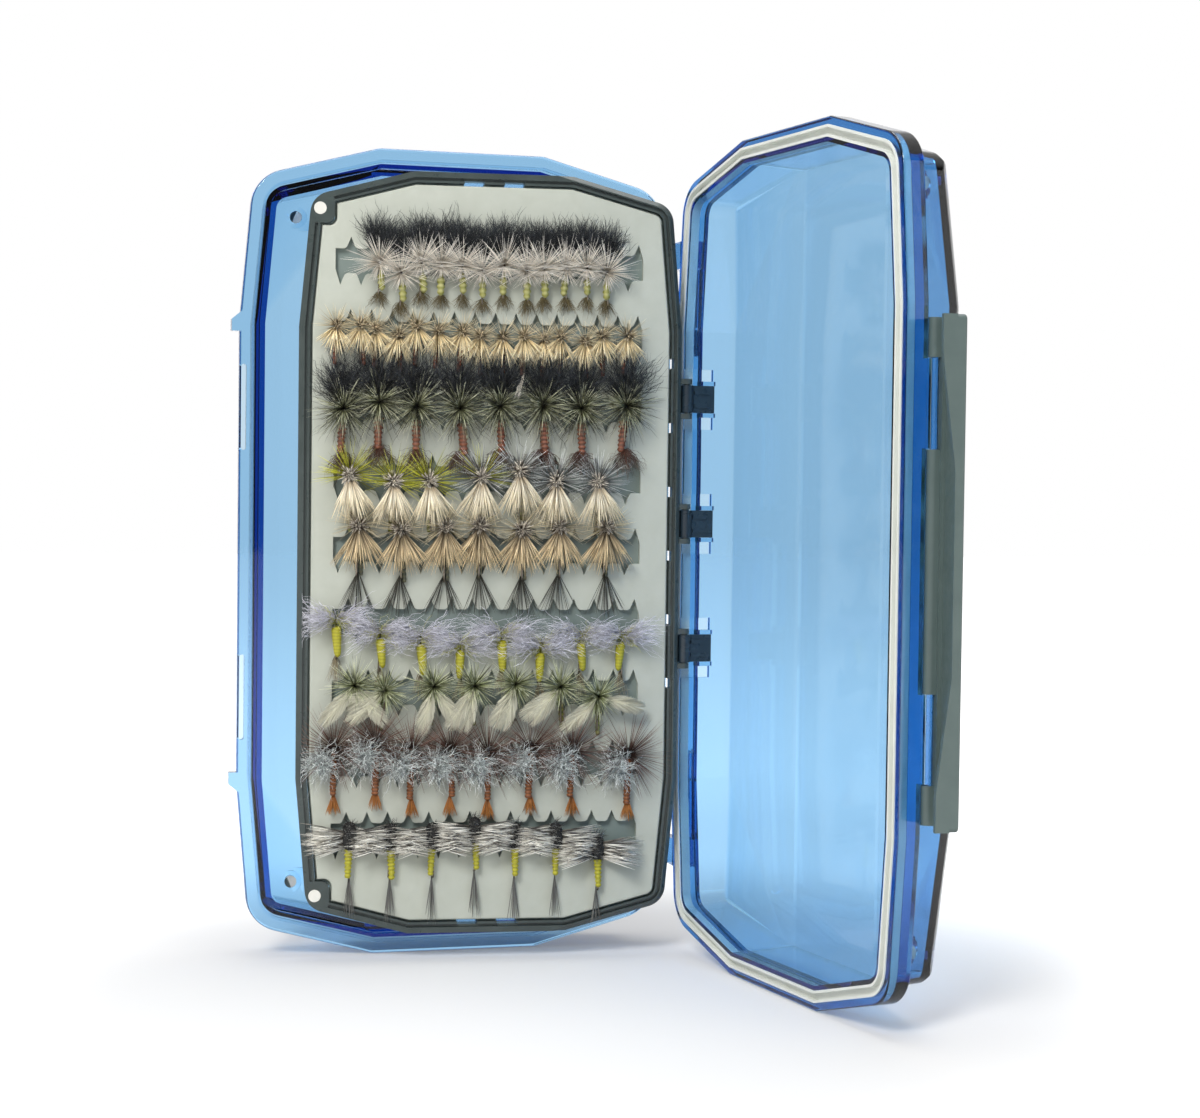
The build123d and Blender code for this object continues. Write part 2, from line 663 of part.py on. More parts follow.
def assemble():
    parts = {
        "base_shell": base_shell(),
        "lid_shell": lid_shell(),
        "lid_gasket": lid_gasket(),
        "latch": latch(),
        "leaf_frame": leaf_frame(),
        "leaf_core": leaf_core(),
        "insert_front": leaf_insert(1),
        "insert_back": leaf_insert(-1),
    }
    for name, sign in magnet_ends.items():
        parts["hinge_pin_" + name] = hinge_pin(sign)
        parts["magnet_base_" + name] = base_seat * Pos(magnet_x, sign * magnet_y, 0) * magnet_disc(boss_depth)
        parts["magnet_lid_" + name] = lid_seat * Pos(-magnet_x, sign * magnet_y, 0) * magnet_disc(boss_depth)
        leaf_disc = leaf_magnet_place(sign) * magnet_disc(leaf_face - magnet_thickness)
        parts["magnet_leaf_" + name] = leaf_seat * leaf_disc
    for name, height in zip(("upper", "middle", "lower"), clip_heights):
        parts["leaf_clip_" + name] = lid_seat * Pos(0, height, 0) * leaf_clip()
    for name, height in zip(fly_rows, slot_row_heights()):
        parts[name] = fly_row(name, height)
    return parts


def main():
    parts = assemble()
    box = Compound([solid for part in parts.values() for solid in part.solids()]).bounding_box()
    origin = Pos(-box.center().X, -box.center().Y, -box.min.Z)
    os.makedirs("parts", exist_ok=True)
    for name, part in parts.items():
        export_step(origin * part, "parts/" + name + ".step")
    latch_axis = (lid_seat * Pos(latch_pivot[0], 0, latch_pivot[1])).position
    for joint, place in (("lid_hinge", Vector(0, 0, 0)), ("leaf_hinge", leaf_pivot), ("latch_hinge", latch_axis)):
        point = (origin * Pos(place)).position
        print(joint, round(point.X, 4), round(point.Y, 4), round(point.Z, 4))
    print("size", box.size)


if __name__ == "__main__":
    main()
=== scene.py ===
# %% [markdown]
# # A clear fly box with a swing leaf
# A fly box keeps dressed fishing hooks dry and in order. Two clear blue shells close on a seal, and a
# slotted leaf swings between them. The hard parts come ready made from the CAD model. This lesson loads
# them, gives every one its finish, and then ties the flies: hackles, wings, bodies and tails, hair by hair.

# %% Load the box
import json
import math

import bpy
import numpy as np
from mathutils import Matrix, Vector


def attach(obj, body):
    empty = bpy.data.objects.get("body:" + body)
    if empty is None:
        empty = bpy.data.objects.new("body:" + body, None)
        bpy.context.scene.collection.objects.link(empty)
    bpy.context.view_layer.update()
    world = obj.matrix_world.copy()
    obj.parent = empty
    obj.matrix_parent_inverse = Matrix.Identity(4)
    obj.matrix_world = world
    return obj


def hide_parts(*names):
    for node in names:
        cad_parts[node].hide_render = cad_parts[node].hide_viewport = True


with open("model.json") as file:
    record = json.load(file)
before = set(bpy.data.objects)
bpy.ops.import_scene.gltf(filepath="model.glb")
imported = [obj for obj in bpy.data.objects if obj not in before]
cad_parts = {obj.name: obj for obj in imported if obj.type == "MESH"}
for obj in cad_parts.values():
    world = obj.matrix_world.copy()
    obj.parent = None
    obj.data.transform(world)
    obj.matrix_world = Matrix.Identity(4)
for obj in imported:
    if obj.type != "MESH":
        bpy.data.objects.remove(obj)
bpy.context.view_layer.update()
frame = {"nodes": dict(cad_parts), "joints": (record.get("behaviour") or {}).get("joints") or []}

MM = 0.001
nodes = frame["nodes"]
joint_places = {joint["name"]: Vector(joint["pos_m"]) for joint in frame["joints"]}
bpy.ops.object.select_all(action="DESELECT")

# %% [markdown]
# ## The camera
# The camera stands a little left of the box's middle, almost level with it. A long lens keeps the two
# halves from stretching. A camera looks down its own -Z, so its turn is built from three directions: right,
# up and back.

# %% Camera
CAMERA_PLACE = joint_places["lid_hinge"] + Vector((-0.164326, -0.516715, 0.01597))
CAMERA_TURN, CAMERA_TILT, CAMERA_ROLL = (math.radians(angle) for angle in (15.51, -1.82, 0.72))
CAMERA_LENS = 68.504

forward = Vector((math.sin(CAMERA_TURN) * math.cos(CAMERA_TILT),
                  math.cos(CAMERA_TURN) * math.cos(CAMERA_TILT),
                  math.sin(CAMERA_TILT)))
level_right = Vector((math.cos(CAMERA_TURN), -math.sin(CAMERA_TURN), 0))
level_up = level_right.cross(forward)
right = level_right * math.cos(CAMERA_ROLL) + level_up * math.sin(CAMERA_ROLL)
up = level_up * math.cos(CAMERA_ROLL) - level_right * math.sin(CAMERA_ROLL)

camera_data = bpy.data.cameras.new("camera")
camera_data.lens = CAMERA_LENS
camera_data.sensor_width = 36
camera_data.clip_start = 0.01
camera = bpy.data.objects.new("camera", camera_data)
camera.matrix_world = Matrix.Translation(CAMERA_PLACE) @ Matrix((right, up, -forward)).transposed().to_4x4()
bpy.context.scene.collection.objects.link(camera)
bpy.context.scene.camera = camera
bpy.context.scene.view_settings.view_transform = "Standard"
print("camera looks along", tuple(round(part, 3) for part in forward))

# %% [markdown]
# ## Light, floor and background
# Clear plastic shows whatever stands behind it, so the background matters as much as the lamps. The eye
# sees a white world all round. Rays that a shell bends or a surface mirrors see white behind and above the
# box and a dim room on the other sides, which gives the clear walls their dark edges. The light that falls
# on things is half as strong as the white, so the lamps can shape the box. The floor glows a little for the
# eye, for mirrors and through the shells. That lifts it to white away from the box, and close to the box it
# still takes the shadow.

# %% Node helpers
def link(tree, start, end):
    tree.links.new(start, end)


def add_node(tree, kind, **values):
    """Adds a shader node, sets its plain properties by name and its sockets by label."""
    made = tree.nodes.new(kind)
    for key, value in values.items():
        if key in made.inputs.keys():
            made.inputs[key].default_value = value
        else:
            setattr(made, key, value)
    return made


def set_sockets(node, sockets):
    for label, value in sockets.items():
        node.inputs[label].default_value = value


def seen_straight(tree):
    """1 for rays that the eye, a mirror or a clear wall sends on, 0 for the light that falls on things."""
    path = add_node(tree, "ShaderNodeLightPath")
    total = path.outputs["Is Camera Ray"]
    for label in ("Is Glossy Ray", "Is Transmission Ray"):
        either = add_node(tree, "ShaderNodeMath", operation="MAXIMUM")
        link(tree, total, either.inputs[0])
        link(tree, path.outputs[label], either.inputs[1])
        total = either.outputs[0]
    return total


# %% World
WORLD_GLOW = 0.5
DIM_SIDE = 0.14                     # strength of the room on its dim sides
BRIGHT_WAY = (0.267, 0.964, 0.0)    # away from the eye
SIDE_FADE = (0.45, 0.85)            # cosine of the angle from there, where the room goes from dim to white
TOP_FADE = (0.45, 0.8)              # height on a unit sphere, likewise

world = bpy.data.worlds.new("studio")
bpy.context.scene.world = world
world.use_nodes = True
tree = world.node_tree
tree.nodes.clear()
soft_sky = add_node(tree, "ShaderNodeBackground", Color=(1, 1, 1, 1), Strength=WORLD_GLOW)
plain_white = add_node(tree, "ShaderNodeBackground", Color=(1, 1, 1, 1), Strength=1.0)
room = add_node(tree, "ShaderNodeBackground", Color=(1, 1, 1, 1))
sky_way = add_node(tree, "ShaderNodeTexCoord").outputs["Generated"]
direction = add_node(tree, "ShaderNodeSeparateXYZ")
link(tree, sky_way, direction.inputs[0])
along = add_node(tree, "ShaderNodeVectorMath", operation="DOT_PRODUCT")
link(tree, sky_way, along.inputs[0])
along.inputs[1].default_value = BRIGHT_WAY
towards_back = add_node(tree, "ShaderNodeMapRange", interpolation_type="SMOOTHSTEP")
set_sockets(towards_back, {"From Min": SIDE_FADE[0], "From Max": SIDE_FADE[1], "To Min": DIM_SIDE})
link(tree, along.outputs["Value"], towards_back.inputs["Value"])
overhead = add_node(tree, "ShaderNodeMapRange", interpolation_type="SMOOTHSTEP")
set_sockets(overhead, {"From Min": TOP_FADE[0], "From Max": TOP_FADE[1]})
link(tree, direction.outputs["Z"], overhead.inputs["Value"])
brighter = add_node(tree, "ShaderNodeMath", operation="MAXIMUM")
link(tree, towards_back.outputs["Result"], brighter.inputs[0])
link(tree, overhead.outputs["Result"], brighter.inputs[1])
link(tree, brighter.outputs[0], room.inputs["Strength"])
mirrored = add_node(tree, "ShaderNodeMixShader")
through = add_node(tree, "ShaderNodeMixShader")
path = add_node(tree, "ShaderNodeLightPath")
link(tree, seen_straight(tree), mirrored.inputs[0])
link(tree, soft_sky.outputs[0], mirrored.inputs[1])
link(tree, room.outputs[0], mirrored.inputs[2])
link(tree, path.outputs["Is Camera Ray"], through.inputs[0])
link(tree, mirrored.outputs[0], through.inputs[1])
link(tree, plain_white.outputs[0], through.inputs[2])
link(tree, through.outputs[0], add_node(tree, "ShaderNodeOutputWorld").inputs[0])
print("world nodes:", len(tree.nodes))

# %% Floor
FLOOR_SIZE = 6.0
FLOOR_LEVEL = -0.0001  # just under the box
FLOOR_WHITE = 0.66
NEAR_GLOW = 0.16       # seen by the eye close to the box, where the shadow lies
FAR_GLOW = 0.85
GLOW_FADE = (0.09, 0.20)  # metres from the box's middle, where it goes from near to far
THROUGH_SHARE = 0.8    # how much of it is left for rays that have passed through a shell

bpy.ops.mesh.primitive_plane_add(size=FLOOR_SIZE, location=(0, 0, FLOOR_LEVEL))
floor = bpy.context.object
floor.name = "floor"
floor_finish = bpy.data.materials.new("floor_white")
floor_finish.use_nodes = True
tree = floor_finish.node_tree
tree.nodes.clear()
matte = add_node(tree, "ShaderNodeBsdfDiffuse", Color=(FLOOR_WHITE, FLOOR_WHITE, FLOOR_WHITE, 1))
glow = add_node(tree, "ShaderNodeEmission", Color=(1, 1, 1, 1))
distance = add_node(tree, "ShaderNodeVectorMath", operation="LENGTH")
link(tree, add_node(tree, "ShaderNodeTexCoord").outputs["Object"], distance.inputs[0])
farther = add_node(tree, "ShaderNodeMapRange", interpolation_type="SMOOTHSTEP")
set_sockets(farther, {"From Min": GLOW_FADE[0], "From Max": GLOW_FADE[1],
                      "To Min": NEAR_GLOW, "To Max": FAR_GLOW})
link(tree, distance.outputs["Value"], farther.inputs["Value"])
path = add_node(tree, "ShaderNodeLightPath")
share = add_node(tree, "ShaderNodeMapRange")
set_sockets(share, {"To Min": 1.0, "To Max": THROUGH_SHARE})
link(tree, path.outputs["Is Transmission Ray"], share.inputs["Value"])
seen = add_node(tree, "ShaderNodeMath", operation="MULTIPLY")
link(tree, seen_straight(tree), seen.inputs[0])
link(tree, farther.outputs["Result"], seen.inputs[1])
shared = add_node(tree, "ShaderNodeMath", operation="MULTIPLY")
link(tree, seen.outputs[0], shared.inputs[0])
link(tree, share.outputs["Result"], shared.inputs[1])
link(tree, shared.outputs[0], glow.inputs["Strength"])
both = add_node(tree, "ShaderNodeAddShader")
link(tree, matte.outputs[0], both.inputs[0])
link(tree, glow.outputs[0], both.inputs[1])
link(tree, both.outputs[0], add_node(tree, "ShaderNodeOutputMaterial").inputs[0])
floor.data.materials.append(floor_finish)
print("floor nodes:", len(tree.nodes), "glow", NEAR_GLOW, "to", FAR_GLOW)

# %% Lamps
BOX_MIDDLE = Vector((0.0, 0.0, 0.09))


def soft_lamp(name, place, size, watts):
    data = bpy.data.lights.new(name, "AREA")
    data.shape = "DISK"
    data.size = size
    data.energy = watts
    lamp = bpy.data.objects.new(name, data)
    aim = (BOX_MIDDLE - Vector(place)).to_track_quat("-Z", "Y").to_matrix().to_4x4()
    lamp.matrix_world = Matrix.Translation(place) @ aim
    bpy.context.scene.collection.objects.link(lamp)
    print(name, "lamp:", watts, "W,", size, "m wide")


soft_lamp("key", (-0.60, -0.80, 0.85), 0.4, 11.5)
soft_lamp("fill", (0.75, -0.9, 0.35), 0.9, 2.6)
soft_lamp("top", (0.1, 0.1, 1.2), 0.8, 6.0)

# %% [markdown]
# ## Finishes for the hard parts
# Every finish starts from the same recipe: a base colour that wanders a little, a roughness that wanders a
# little, and a fine bump. Real mouldings are never one flat value, and the small differences are what make
# a surface read as plastic, rubber or plated metal. The patterns use Object coordinates, which stay with
# each piece as it moves.

# %% The shared recipe
NOISE_MIDDLE = (0.3, 0.7)    # most of a noise lies between these
TINT_PATCH = 12              # size of the colour patches, in grains
SHEEN_PATCH = 5              # size of the shinier and duller patches, in grains
SHEEN_SPREAD = 0.06
BUMP_STRENGTH = 0.35


def new_finish(name):
    made = bpy.data.materials.new(name)
    made.use_nodes = True
    return made, made.node_tree, made.node_tree.nodes["Principled BSDF"]


def noise(tree, scale, detail=3.0):
    made = add_node(tree, "ShaderNodeTexNoise", Scale=scale, Detail=detail)
    link(tree, add_node(tree, "ShaderNodeTexCoord").outputs["Object"], made.inputs["Vector"])
    return made.outputs["Fac"]


def spread(tree, value, low, high):
    """Maps the middle of a noise onto low to high."""
    made = add_node(tree, "ShaderNodeMapRange")
    set_sockets(made, {"From Min": NOISE_MIDDLE[0], "From Max": NOISE_MIDDLE[1],
                       "To Min": low, "To Max": high})
    link(tree, value, made.inputs["Value"])
    return made.outputs["Result"]


def blend_colours(tree, factor, first, second):
    made = add_node(tree, "ShaderNodeMix", data_type="RGBA")
    link(tree, factor, made.inputs["Factor"])
    ends = [socket for socket in made.inputs if socket.type == "RGBA"]
    ends[0].default_value = (*first, 1)
    ends[1].default_value = (*second, 1)
    return [socket for socket in made.outputs if socket.type == "RGBA"][0]


def fine_bump(tree, height, distance, strength, target):
    made = add_node(tree, "ShaderNodeBump", Strength=strength, Distance=distance)
    link(tree, height, made.inputs["Height"])
    link(tree, made.outputs["Normal"], target.inputs["Normal"])


def moulded(name, colour, worn, rough, grain, bump, metallic=0.0):
    """A moulded or plated finish: two close colours, wandering roughness, fine bump."""
    made, tree, surface = new_finish(name)
    tint = blend_colours(tree, spread(tree, noise(tree, grain / TINT_PATCH), 0, 1), colour, worn)
    link(tree, tint, surface.inputs["Base Color"])
    sheen = noise(tree, grain / SHEEN_PATCH)
    link(tree, spread(tree, sheen, rough - SHEEN_SPREAD, rough + SHEEN_SPREAD), surface.inputs["Roughness"])
    fine_bump(tree, noise(tree, grain), bump, BUMP_STRENGTH, surface)
    surface.inputs["Metallic"].default_value = metallic
    return made


def wear(node, finish):
    nodes[node].data.materials.clear()
    nodes[node].data.materials.append(finish)


# %% [markdown]
# ### Clear blue shells
# Clear polycarbonate takes its colour from its depth: light that crosses a thin wall comes out pale, and
# light that runs along a wall to its edge comes out navy. A volume that absorbs red first does exactly
# that, so the surface itself stays colourless.

# %% Clear blue
SHELL_TAKES = (0.29, 0.65, 0.868)       # the further below 1, the sooner that colour is absorbed
SHELL_DENSITY = 720.0
SHELL_BENDS = 1.49                      # index of refraction
SHADOW_TINT = (0.56, 0.62, 0.66, 1)

clear_blue, tree, surface = new_finish("clear_blue")
set_sockets(surface, {"Base Color": (1, 1, 1, 1), "Transmission Weight": 1.0, "IOR": SHELL_BENDS})
link(tree, spread(tree, noise(tree, 90), 0.03, 0.07), surface.inputs["Roughness"])
fine_bump(tree, noise(tree, 45, 2.0), 0.0003, 0.12, surface)
absorb = add_node(tree, "ShaderNodeVolumeAbsorption", Color=(*SHELL_TAKES, 1), Density=SHELL_DENSITY)
let_through = add_node(tree, "ShaderNodeBsdfTransparent", Color=SHADOW_TINT)
choose = add_node(tree, "ShaderNodeMixShader")
path = add_node(tree, "ShaderNodeLightPath")
output = tree.nodes["Material Output"]
link(tree, path.outputs["Is Shadow Ray"], choose.inputs[0])
link(tree, surface.outputs[0], choose.inputs[1])
link(tree, let_through.outputs[0], choose.inputs[2])
link(tree, choose.outputs[0], output.inputs["Surface"])
link(tree, absorb.outputs[0], output.inputs["Volume"])
for node in ("base_shell", "lid_shell"):
    wear(node, clear_blue)
print("clear blue:", SHELL_TAKES, "at density", SHELL_DENSITY)

# %% [markdown]
# ### Seal, latch, leaf, clips, magnets and pins

# %% Other hard finishes
seal_rubber = moulded("seal_rubber", (0.79, 0.81, 0.76), (0.72, 0.74, 0.69), 0.5, 1500, 0.00003)
latch_plastic = moulded("latch_plastic", (0.078, 0.112, 0.106), (0.092, 0.128, 0.121), 0.36, 2600, 0.00004)
frame_plastic = moulded("frame_plastic", (0.042, 0.056, 0.054), (0.055, 0.071, 0.067), 0.32, 2400, 0.00004)
core_plastic = moulded("core_plastic", (0.17, 0.215, 0.195), (0.20, 0.245, 0.225), 0.5, 1800, 0.00004)
insert_foam = moulded("insert_foam", (0.46, 0.48, 0.41), (0.495, 0.515, 0.445), 0.55, 3200, 0.00003)
# The clips' near-black blue is their dark plastic with painted shade and a painted blue reflection of the
# shell added into the colour.
clip_dark_with_painted_shade = moulded("clip_dark_with_painted_shade", (0.010, 0.020, 0.030), (0.015, 0.028, 0.040), 0.3, 2200, 0.00004)
magnet_plate = moulded("magnet_plate", (0.86, 0.84, 0.77), (0.80, 0.78, 0.71), 0.34, 900, 0.00002,
                       metallic=0.15)
pin_steel = moulded("pin_steel", (0.60, 0.60, 0.58), (0.52, 0.52, 0.51), 0.3, 1600, 0.00002, metallic=1.0)

wear("lid_gasket", seal_rubber)
wear("latch", latch_plastic)
wear("leaf_frame", frame_plastic)
wear("leaf_core", core_plastic)
for side in ("front", "back"):
    wear("insert_" + side, insert_foam)
for place in ("upper", "middle", "lower"):
    wear("leaf_clip_" + place, clip_dark_with_painted_shade)
for end in ("upper", "lower"):
    wear("hinge_pin_" + end, pin_steel)
    for body in ("base", "lid", "leaf"):
        wear("magnet_" + body + "_" + end, magnet_plate)
print("finishes so far:", len(bpy.data.materials))

# %% [markdown]
# ## Tying the flies
# A fly is tied on a hook: a body wound along the shank, a tail behind it, and hair or feather fibres that
# stand out near the eye. All of it is fibre, and a fibre is one thin tapered rod that bends. So one hair is
# modelled, and the lesson then lays copies of it along paths. Everything here is worked out on the leaf, in
# millimetres: x to the right, y away from the eye, z up, measured from the leaf's hinge line, and turned
# onto the leaf at the very end.

# %% Places on the leaf
LEAF_LEAN = math.radians(-7.0)
FACE = 2.1            # insert face in front of the leaf's middle
HOOK_STAND = 3.9      # shank in front of the leaf's middle
ROW_PITCH = 16.3
MIDDLE_ROW = 1.0      # height of the fifth row above the leaf's middle
HAIR_CLEAR = 0.12     # least space between a hair and the insert
HAIR_PILE = 0.5       # hairs pressed onto the insert lie up to this much higher
HAIR_FRONT = -9.2     # no hair stands further forward, or the shut lid would press it
HAIR_SIDES = (-88.3, -2.4)  # how far out and how near the hinge line hairs may reach
HAIR_TOP = 86.4       # above and below the middle
LEAF_MIDDLE = -45.2   # middle of the leaf from its hinge line
LEAF_FLAT = 18.3      # half the straight part of its short ends
END_SLOPE = 0.28      # how fast its ends fall away beside that
EYE_ABOVE = 1.2       # hook eye above the tie point
ON_LEAF = Matrix.Translation(joint_places["leaf_hinge"]) @ Matrix.Rotation(LEAF_LEAN, 4, "Z")
ON_LEAF = ON_LEAF @ Matrix.Scale(MM, 4)
print("insert face", FACE, "mm and shanks", HOOK_STAND, "mm in front of the leaf's middle")


def row_height(row):
    return MIDDLE_ROW + (5 - row) * ROW_PITCH


# %% [markdown]
# ### One hair
# A three-sided rod is cut into short lengths and its tip is drawn in. Three sides are enough for something
# a tenth or two of a millimetre across, and few faces matter when there are thousands.

# %% Model a hair
HAIR_TAPER = 0.92     # each length narrows to this share
TIP_TAPER = 0.3       # and the last one to this


def model_hair(name, lengths):
    """A three-sided rod of unit height with that many lengths, narrowing to its tip."""
    bpy.ops.object.select_all(action="DESELECT")
    bpy.ops.mesh.primitive_circle_add(vertices=3, radius=1, fill_type="NGON", location=(0, 0, 0))
    hair = bpy.context.object
    hair.name = name
    bpy.ops.object.mode_set(mode="EDIT")
    for step in range(lengths):
        bpy.ops.mesh.extrude_region_move(TRANSFORM_OT_translate={"value": (0, 0, 1 / lengths)})
        middle = (0, 0, (step + 1) / lengths)
        draw_in = HAIR_TAPER if step < lengths - 1 else TIP_TAPER
        bpy.ops.transform.resize(value=(draw_in, draw_in, 1), center_override=middle)
    bpy.ops.object.mode_set(mode="OBJECT")
    return hair


class Hair:
    """Keeps the modelled hair's corners and faces, ready to be copied along paths."""

    def __init__(self, lengths):
        source = model_hair("hair_%d" % lengths, lengths)
        self.knots = lengths + 1
        self.corners = np.array([corner.co[:] for corner in source.data.vertices])
        self.rings = np.rint(self.corners[:, 2] * lengths).astype(int)
        self.faces = [tuple(face.vertices) for face in source.data.polygons]
        bpy.data.objects.remove(source)


STRAIGHT = Hair(3)
WAVY = Hair(7)
print("one hair has", len(STRAIGHT.faces), "faces, a wavy one", len(WAVY.faces))

# %% [markdown]
# ### Paths for hairs
# A bunch of hairs leaves one tie point. Each hair has its own angle round the fly, its own lift towards the
# eye and its own length, and hackle also bows. Frizzy fibres wander as they go. A seed for each row keeps
# every run alike.

# %% Bunches
def unit(directions):
    return directions / np.linalg.norm(directions, axis=-1, keepdims=True)


def bunch(rng, count, hair, round_from, round_to, lift, reach, start=0.2, bow=(0, 0, 0), frizz=0.0):
    """Paths from the origin. round_* are degrees from +x towards +z, lift is degrees towards the eye."""
    around = np.radians(rng.uniform(round_from, round_to, count))
    rise = np.radians(rng.uniform(*lift, count))
    heading = np.stack([np.cos(around) * np.cos(rise), -np.sin(rise), np.sin(around) * np.cos(rise)], axis=1)
    heading = unit(heading)
    length = rng.uniform(*reach, count)
    along = np.linspace(0, 1, hair.knots)
    paths = heading[:, None, :] * (start + along[None, :, None] * length[:, None, None])
    paths += np.array(bow) * (along ** 2)[None, :, None] * length[:, None, None]
    if frizz:
        wander = rng.normal(0, frizz, (count, hair.knots, 3))
        wander[:, 0] = 0
        paths += np.cumsum(wander, axis=1)
    return paths


def moved(paths, x, y, z):
    return paths + np.array((x, y, z))


def keep_on_leaf(paths, rng):
    """Hairs lie over the insert, not through it, and stay inside the shut lid and the leaf's edge."""
    front = -(FACE + HAIR_CLEAR)
    over = paths[..., 1] > front
    piled = front - rng.uniform(0, HAIR_PILE, paths.shape[:-1])
    paths[..., 1] = np.where(over, piled, paths[..., 1])
    paths[..., 1] = np.maximum(paths[..., 1], HAIR_FRONT)
    paths[..., 0] = np.clip(paths[..., 0], *HAIR_SIDES)
    slope = np.maximum(0, np.abs(paths[..., 0] - LEAF_MIDDLE) - LEAF_FLAT) * END_SLOPE
    paths[..., 2] = np.clip(paths[..., 2], slope - HAIR_TOP, HAIR_TOP - slope)
    return paths


# %% [markdown]
# ### Laying hairs along paths
# Each copy of the hair is bent along one path. Its u runs from root to tip, and its v is one random number
# for the whole hair, so a material can fade a hair along its length and make each hair a little different.

# %% Lay hairs
def lay_hairs(name, paths, hair, thickness, rng):
    """One mesh of hairs in leaf millimetres. thickness is the range of half widths."""
    count = len(paths)
    heading = unit(paths[:, -1] - paths[:, 0])
    aside = unit(np.cross(heading, np.where(np.abs(heading[:, 2:3]) < 0.9, (0, 0, 1.0), (1.0, 0, 0))))
    across = np.cross(heading, aside)
    width = rng.uniform(*thickness, count)[:, None, None]
    corners = paths[:, hair.rings] + width * (hair.corners[None, :, 0:1] * aside[:, None]
                                              + hair.corners[None, :, 1:2] * across[:, None])
    shift = len(hair.corners)
    faces = [tuple(corner + index * shift for corner in face)
             for index in range(count) for face in hair.faces]
    mesh = bpy.data.meshes.new(name)
    mesh.from_pydata(corners.reshape(-1, 3).tolist(), [], faces)
    strand = mesh.uv_layers.new(name="strand")
    corner_of_loop = np.empty(len(mesh.loops), int)
    mesh.loops.foreach_get("vertex_index", corner_of_loop)
    share = rng.random(count)
    along = hair.rings[corner_of_loop % shift] / (hair.knots - 1)
    strand.data.foreach_set("uv", np.stack([along, share[corner_of_loop // shift]], axis=1).ravel())
    made = bpy.data.objects.new(name, mesh)
    bpy.context.scene.collection.objects.link(made)
    return made


def finish_piece(piece, row, finish):
    """Turns a piece from leaf millimetres onto the leaf, gives it its finish and hangs it on the leaf."""
    piece.data.transform(ON_LEAF)
    piece.data.materials.clear()
    piece.data.materials.append(finish)
    piece.data.polygons.foreach_set("use_smooth", [True] * len(piece.data.polygons))
    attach(piece, "leaf")
    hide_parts("fly_row_%d" % row)


# %% [markdown]
# ### Hair finishes
# Hair shines along its length but stays soft. The root to tip fade comes from u, and each hair's own shade
# from v.

# %% Fibre material
def fibre(name, root, middle, tip, vary=0.35, rough=0.5):
    made, tree, surface = new_finish(name)
    place = add_node(tree, "ShaderNodeUVMap", uv_map="strand")
    parts = add_node(tree, "ShaderNodeSeparateXYZ")
    link(tree, place.outputs[0], parts.inputs[0])
    fade = add_node(tree, "ShaderNodeValToRGB")
    fade.color_ramp.elements[0].color = (*root, 1)
    fade.color_ramp.elements[1].color = (*tip, 1)
    fade.color_ramp.elements.new(0.5).color = (*middle, 1)
    link(tree, parts.outputs["X"], fade.inputs["Fac"])
    shade = add_node(tree, "ShaderNodeMapRange")
    set_sockets(shade, {"To Min": 1 - vary, "To Max": 1 + vary})
    link(tree, parts.outputs["Y"], shade.inputs["Value"])
    tone = add_node(tree, "ShaderNodeHueSaturation")
    link(tree, fade.outputs["Color"], tone.inputs["Color"])
    link(tree, shade.outputs["Result"], tone.inputs["Value"])
    link(tree, tone.outputs["Color"], surface.inputs["Base Color"])
    surface.inputs["Roughness"].default_value = rough
    return made


def wound(name, colour, stripe, turns, rough=0.5):
    """Thread or dubbing wound round a shank: bands across it, with a soft fuzzy bump."""
    made, tree, surface = new_finish(name)
    place = add_node(tree, "ShaderNodeTexCoord").outputs["Object"]
    bands = add_node(tree, "ShaderNodeTexWave", Scale=turns, Distortion=2.0, Detail=2.0)
    bands.wave_type = "BANDS"
    bands.bands_direction = "Z"
    bands.inputs["Detail Scale"].default_value = 3.0
    link(tree, place, bands.inputs["Vector"])
    tint = blend_colours(tree, bands.outputs["Fac"], colour, stripe)
    link(tree, tint, surface.inputs["Base Color"])
    link(tree, spread(tree, noise(tree, 1500), rough - 0.1, rough + 0.1), surface.inputs["Roughness"])
    fine_bump(tree, noise(tree, 5000), 0.0001, 0.6, surface)
    return made


# %% [markdown]
# ### Hooks
# A hook is one wire: a shank that hangs upright on the leaf, a round bend below it and a point that goes
# back up into the slot. A circle is extruded down the shank, spun round the bend and extruded again to the
# point. The eye is a small ring on top.

# %% Model a hook
HOOK_WIRE = 0.22      # half the wire's width
HOOK_GAPE = 3.0       # from shank to point
HOOK_TOP = 0.7        # the shank starts this far below the hook's origin
POINT_RISE = 0.3      # share of the shank that the wire climbs again behind it
POINT_LENGTH = 0.9
POINT_LEAN = 0.1
POINT_TAPER = 0.1
EYE_RING = 0.5        # radius of the eye
EYE_DROP = 0.2        # its middle below the hook's origin

hook_steel = moulded("hook_steel", (0.16, 0.13, 0.10), (0.24, 0.20, 0.16), 0.3, 2000, 0.00001, metallic=1.0)


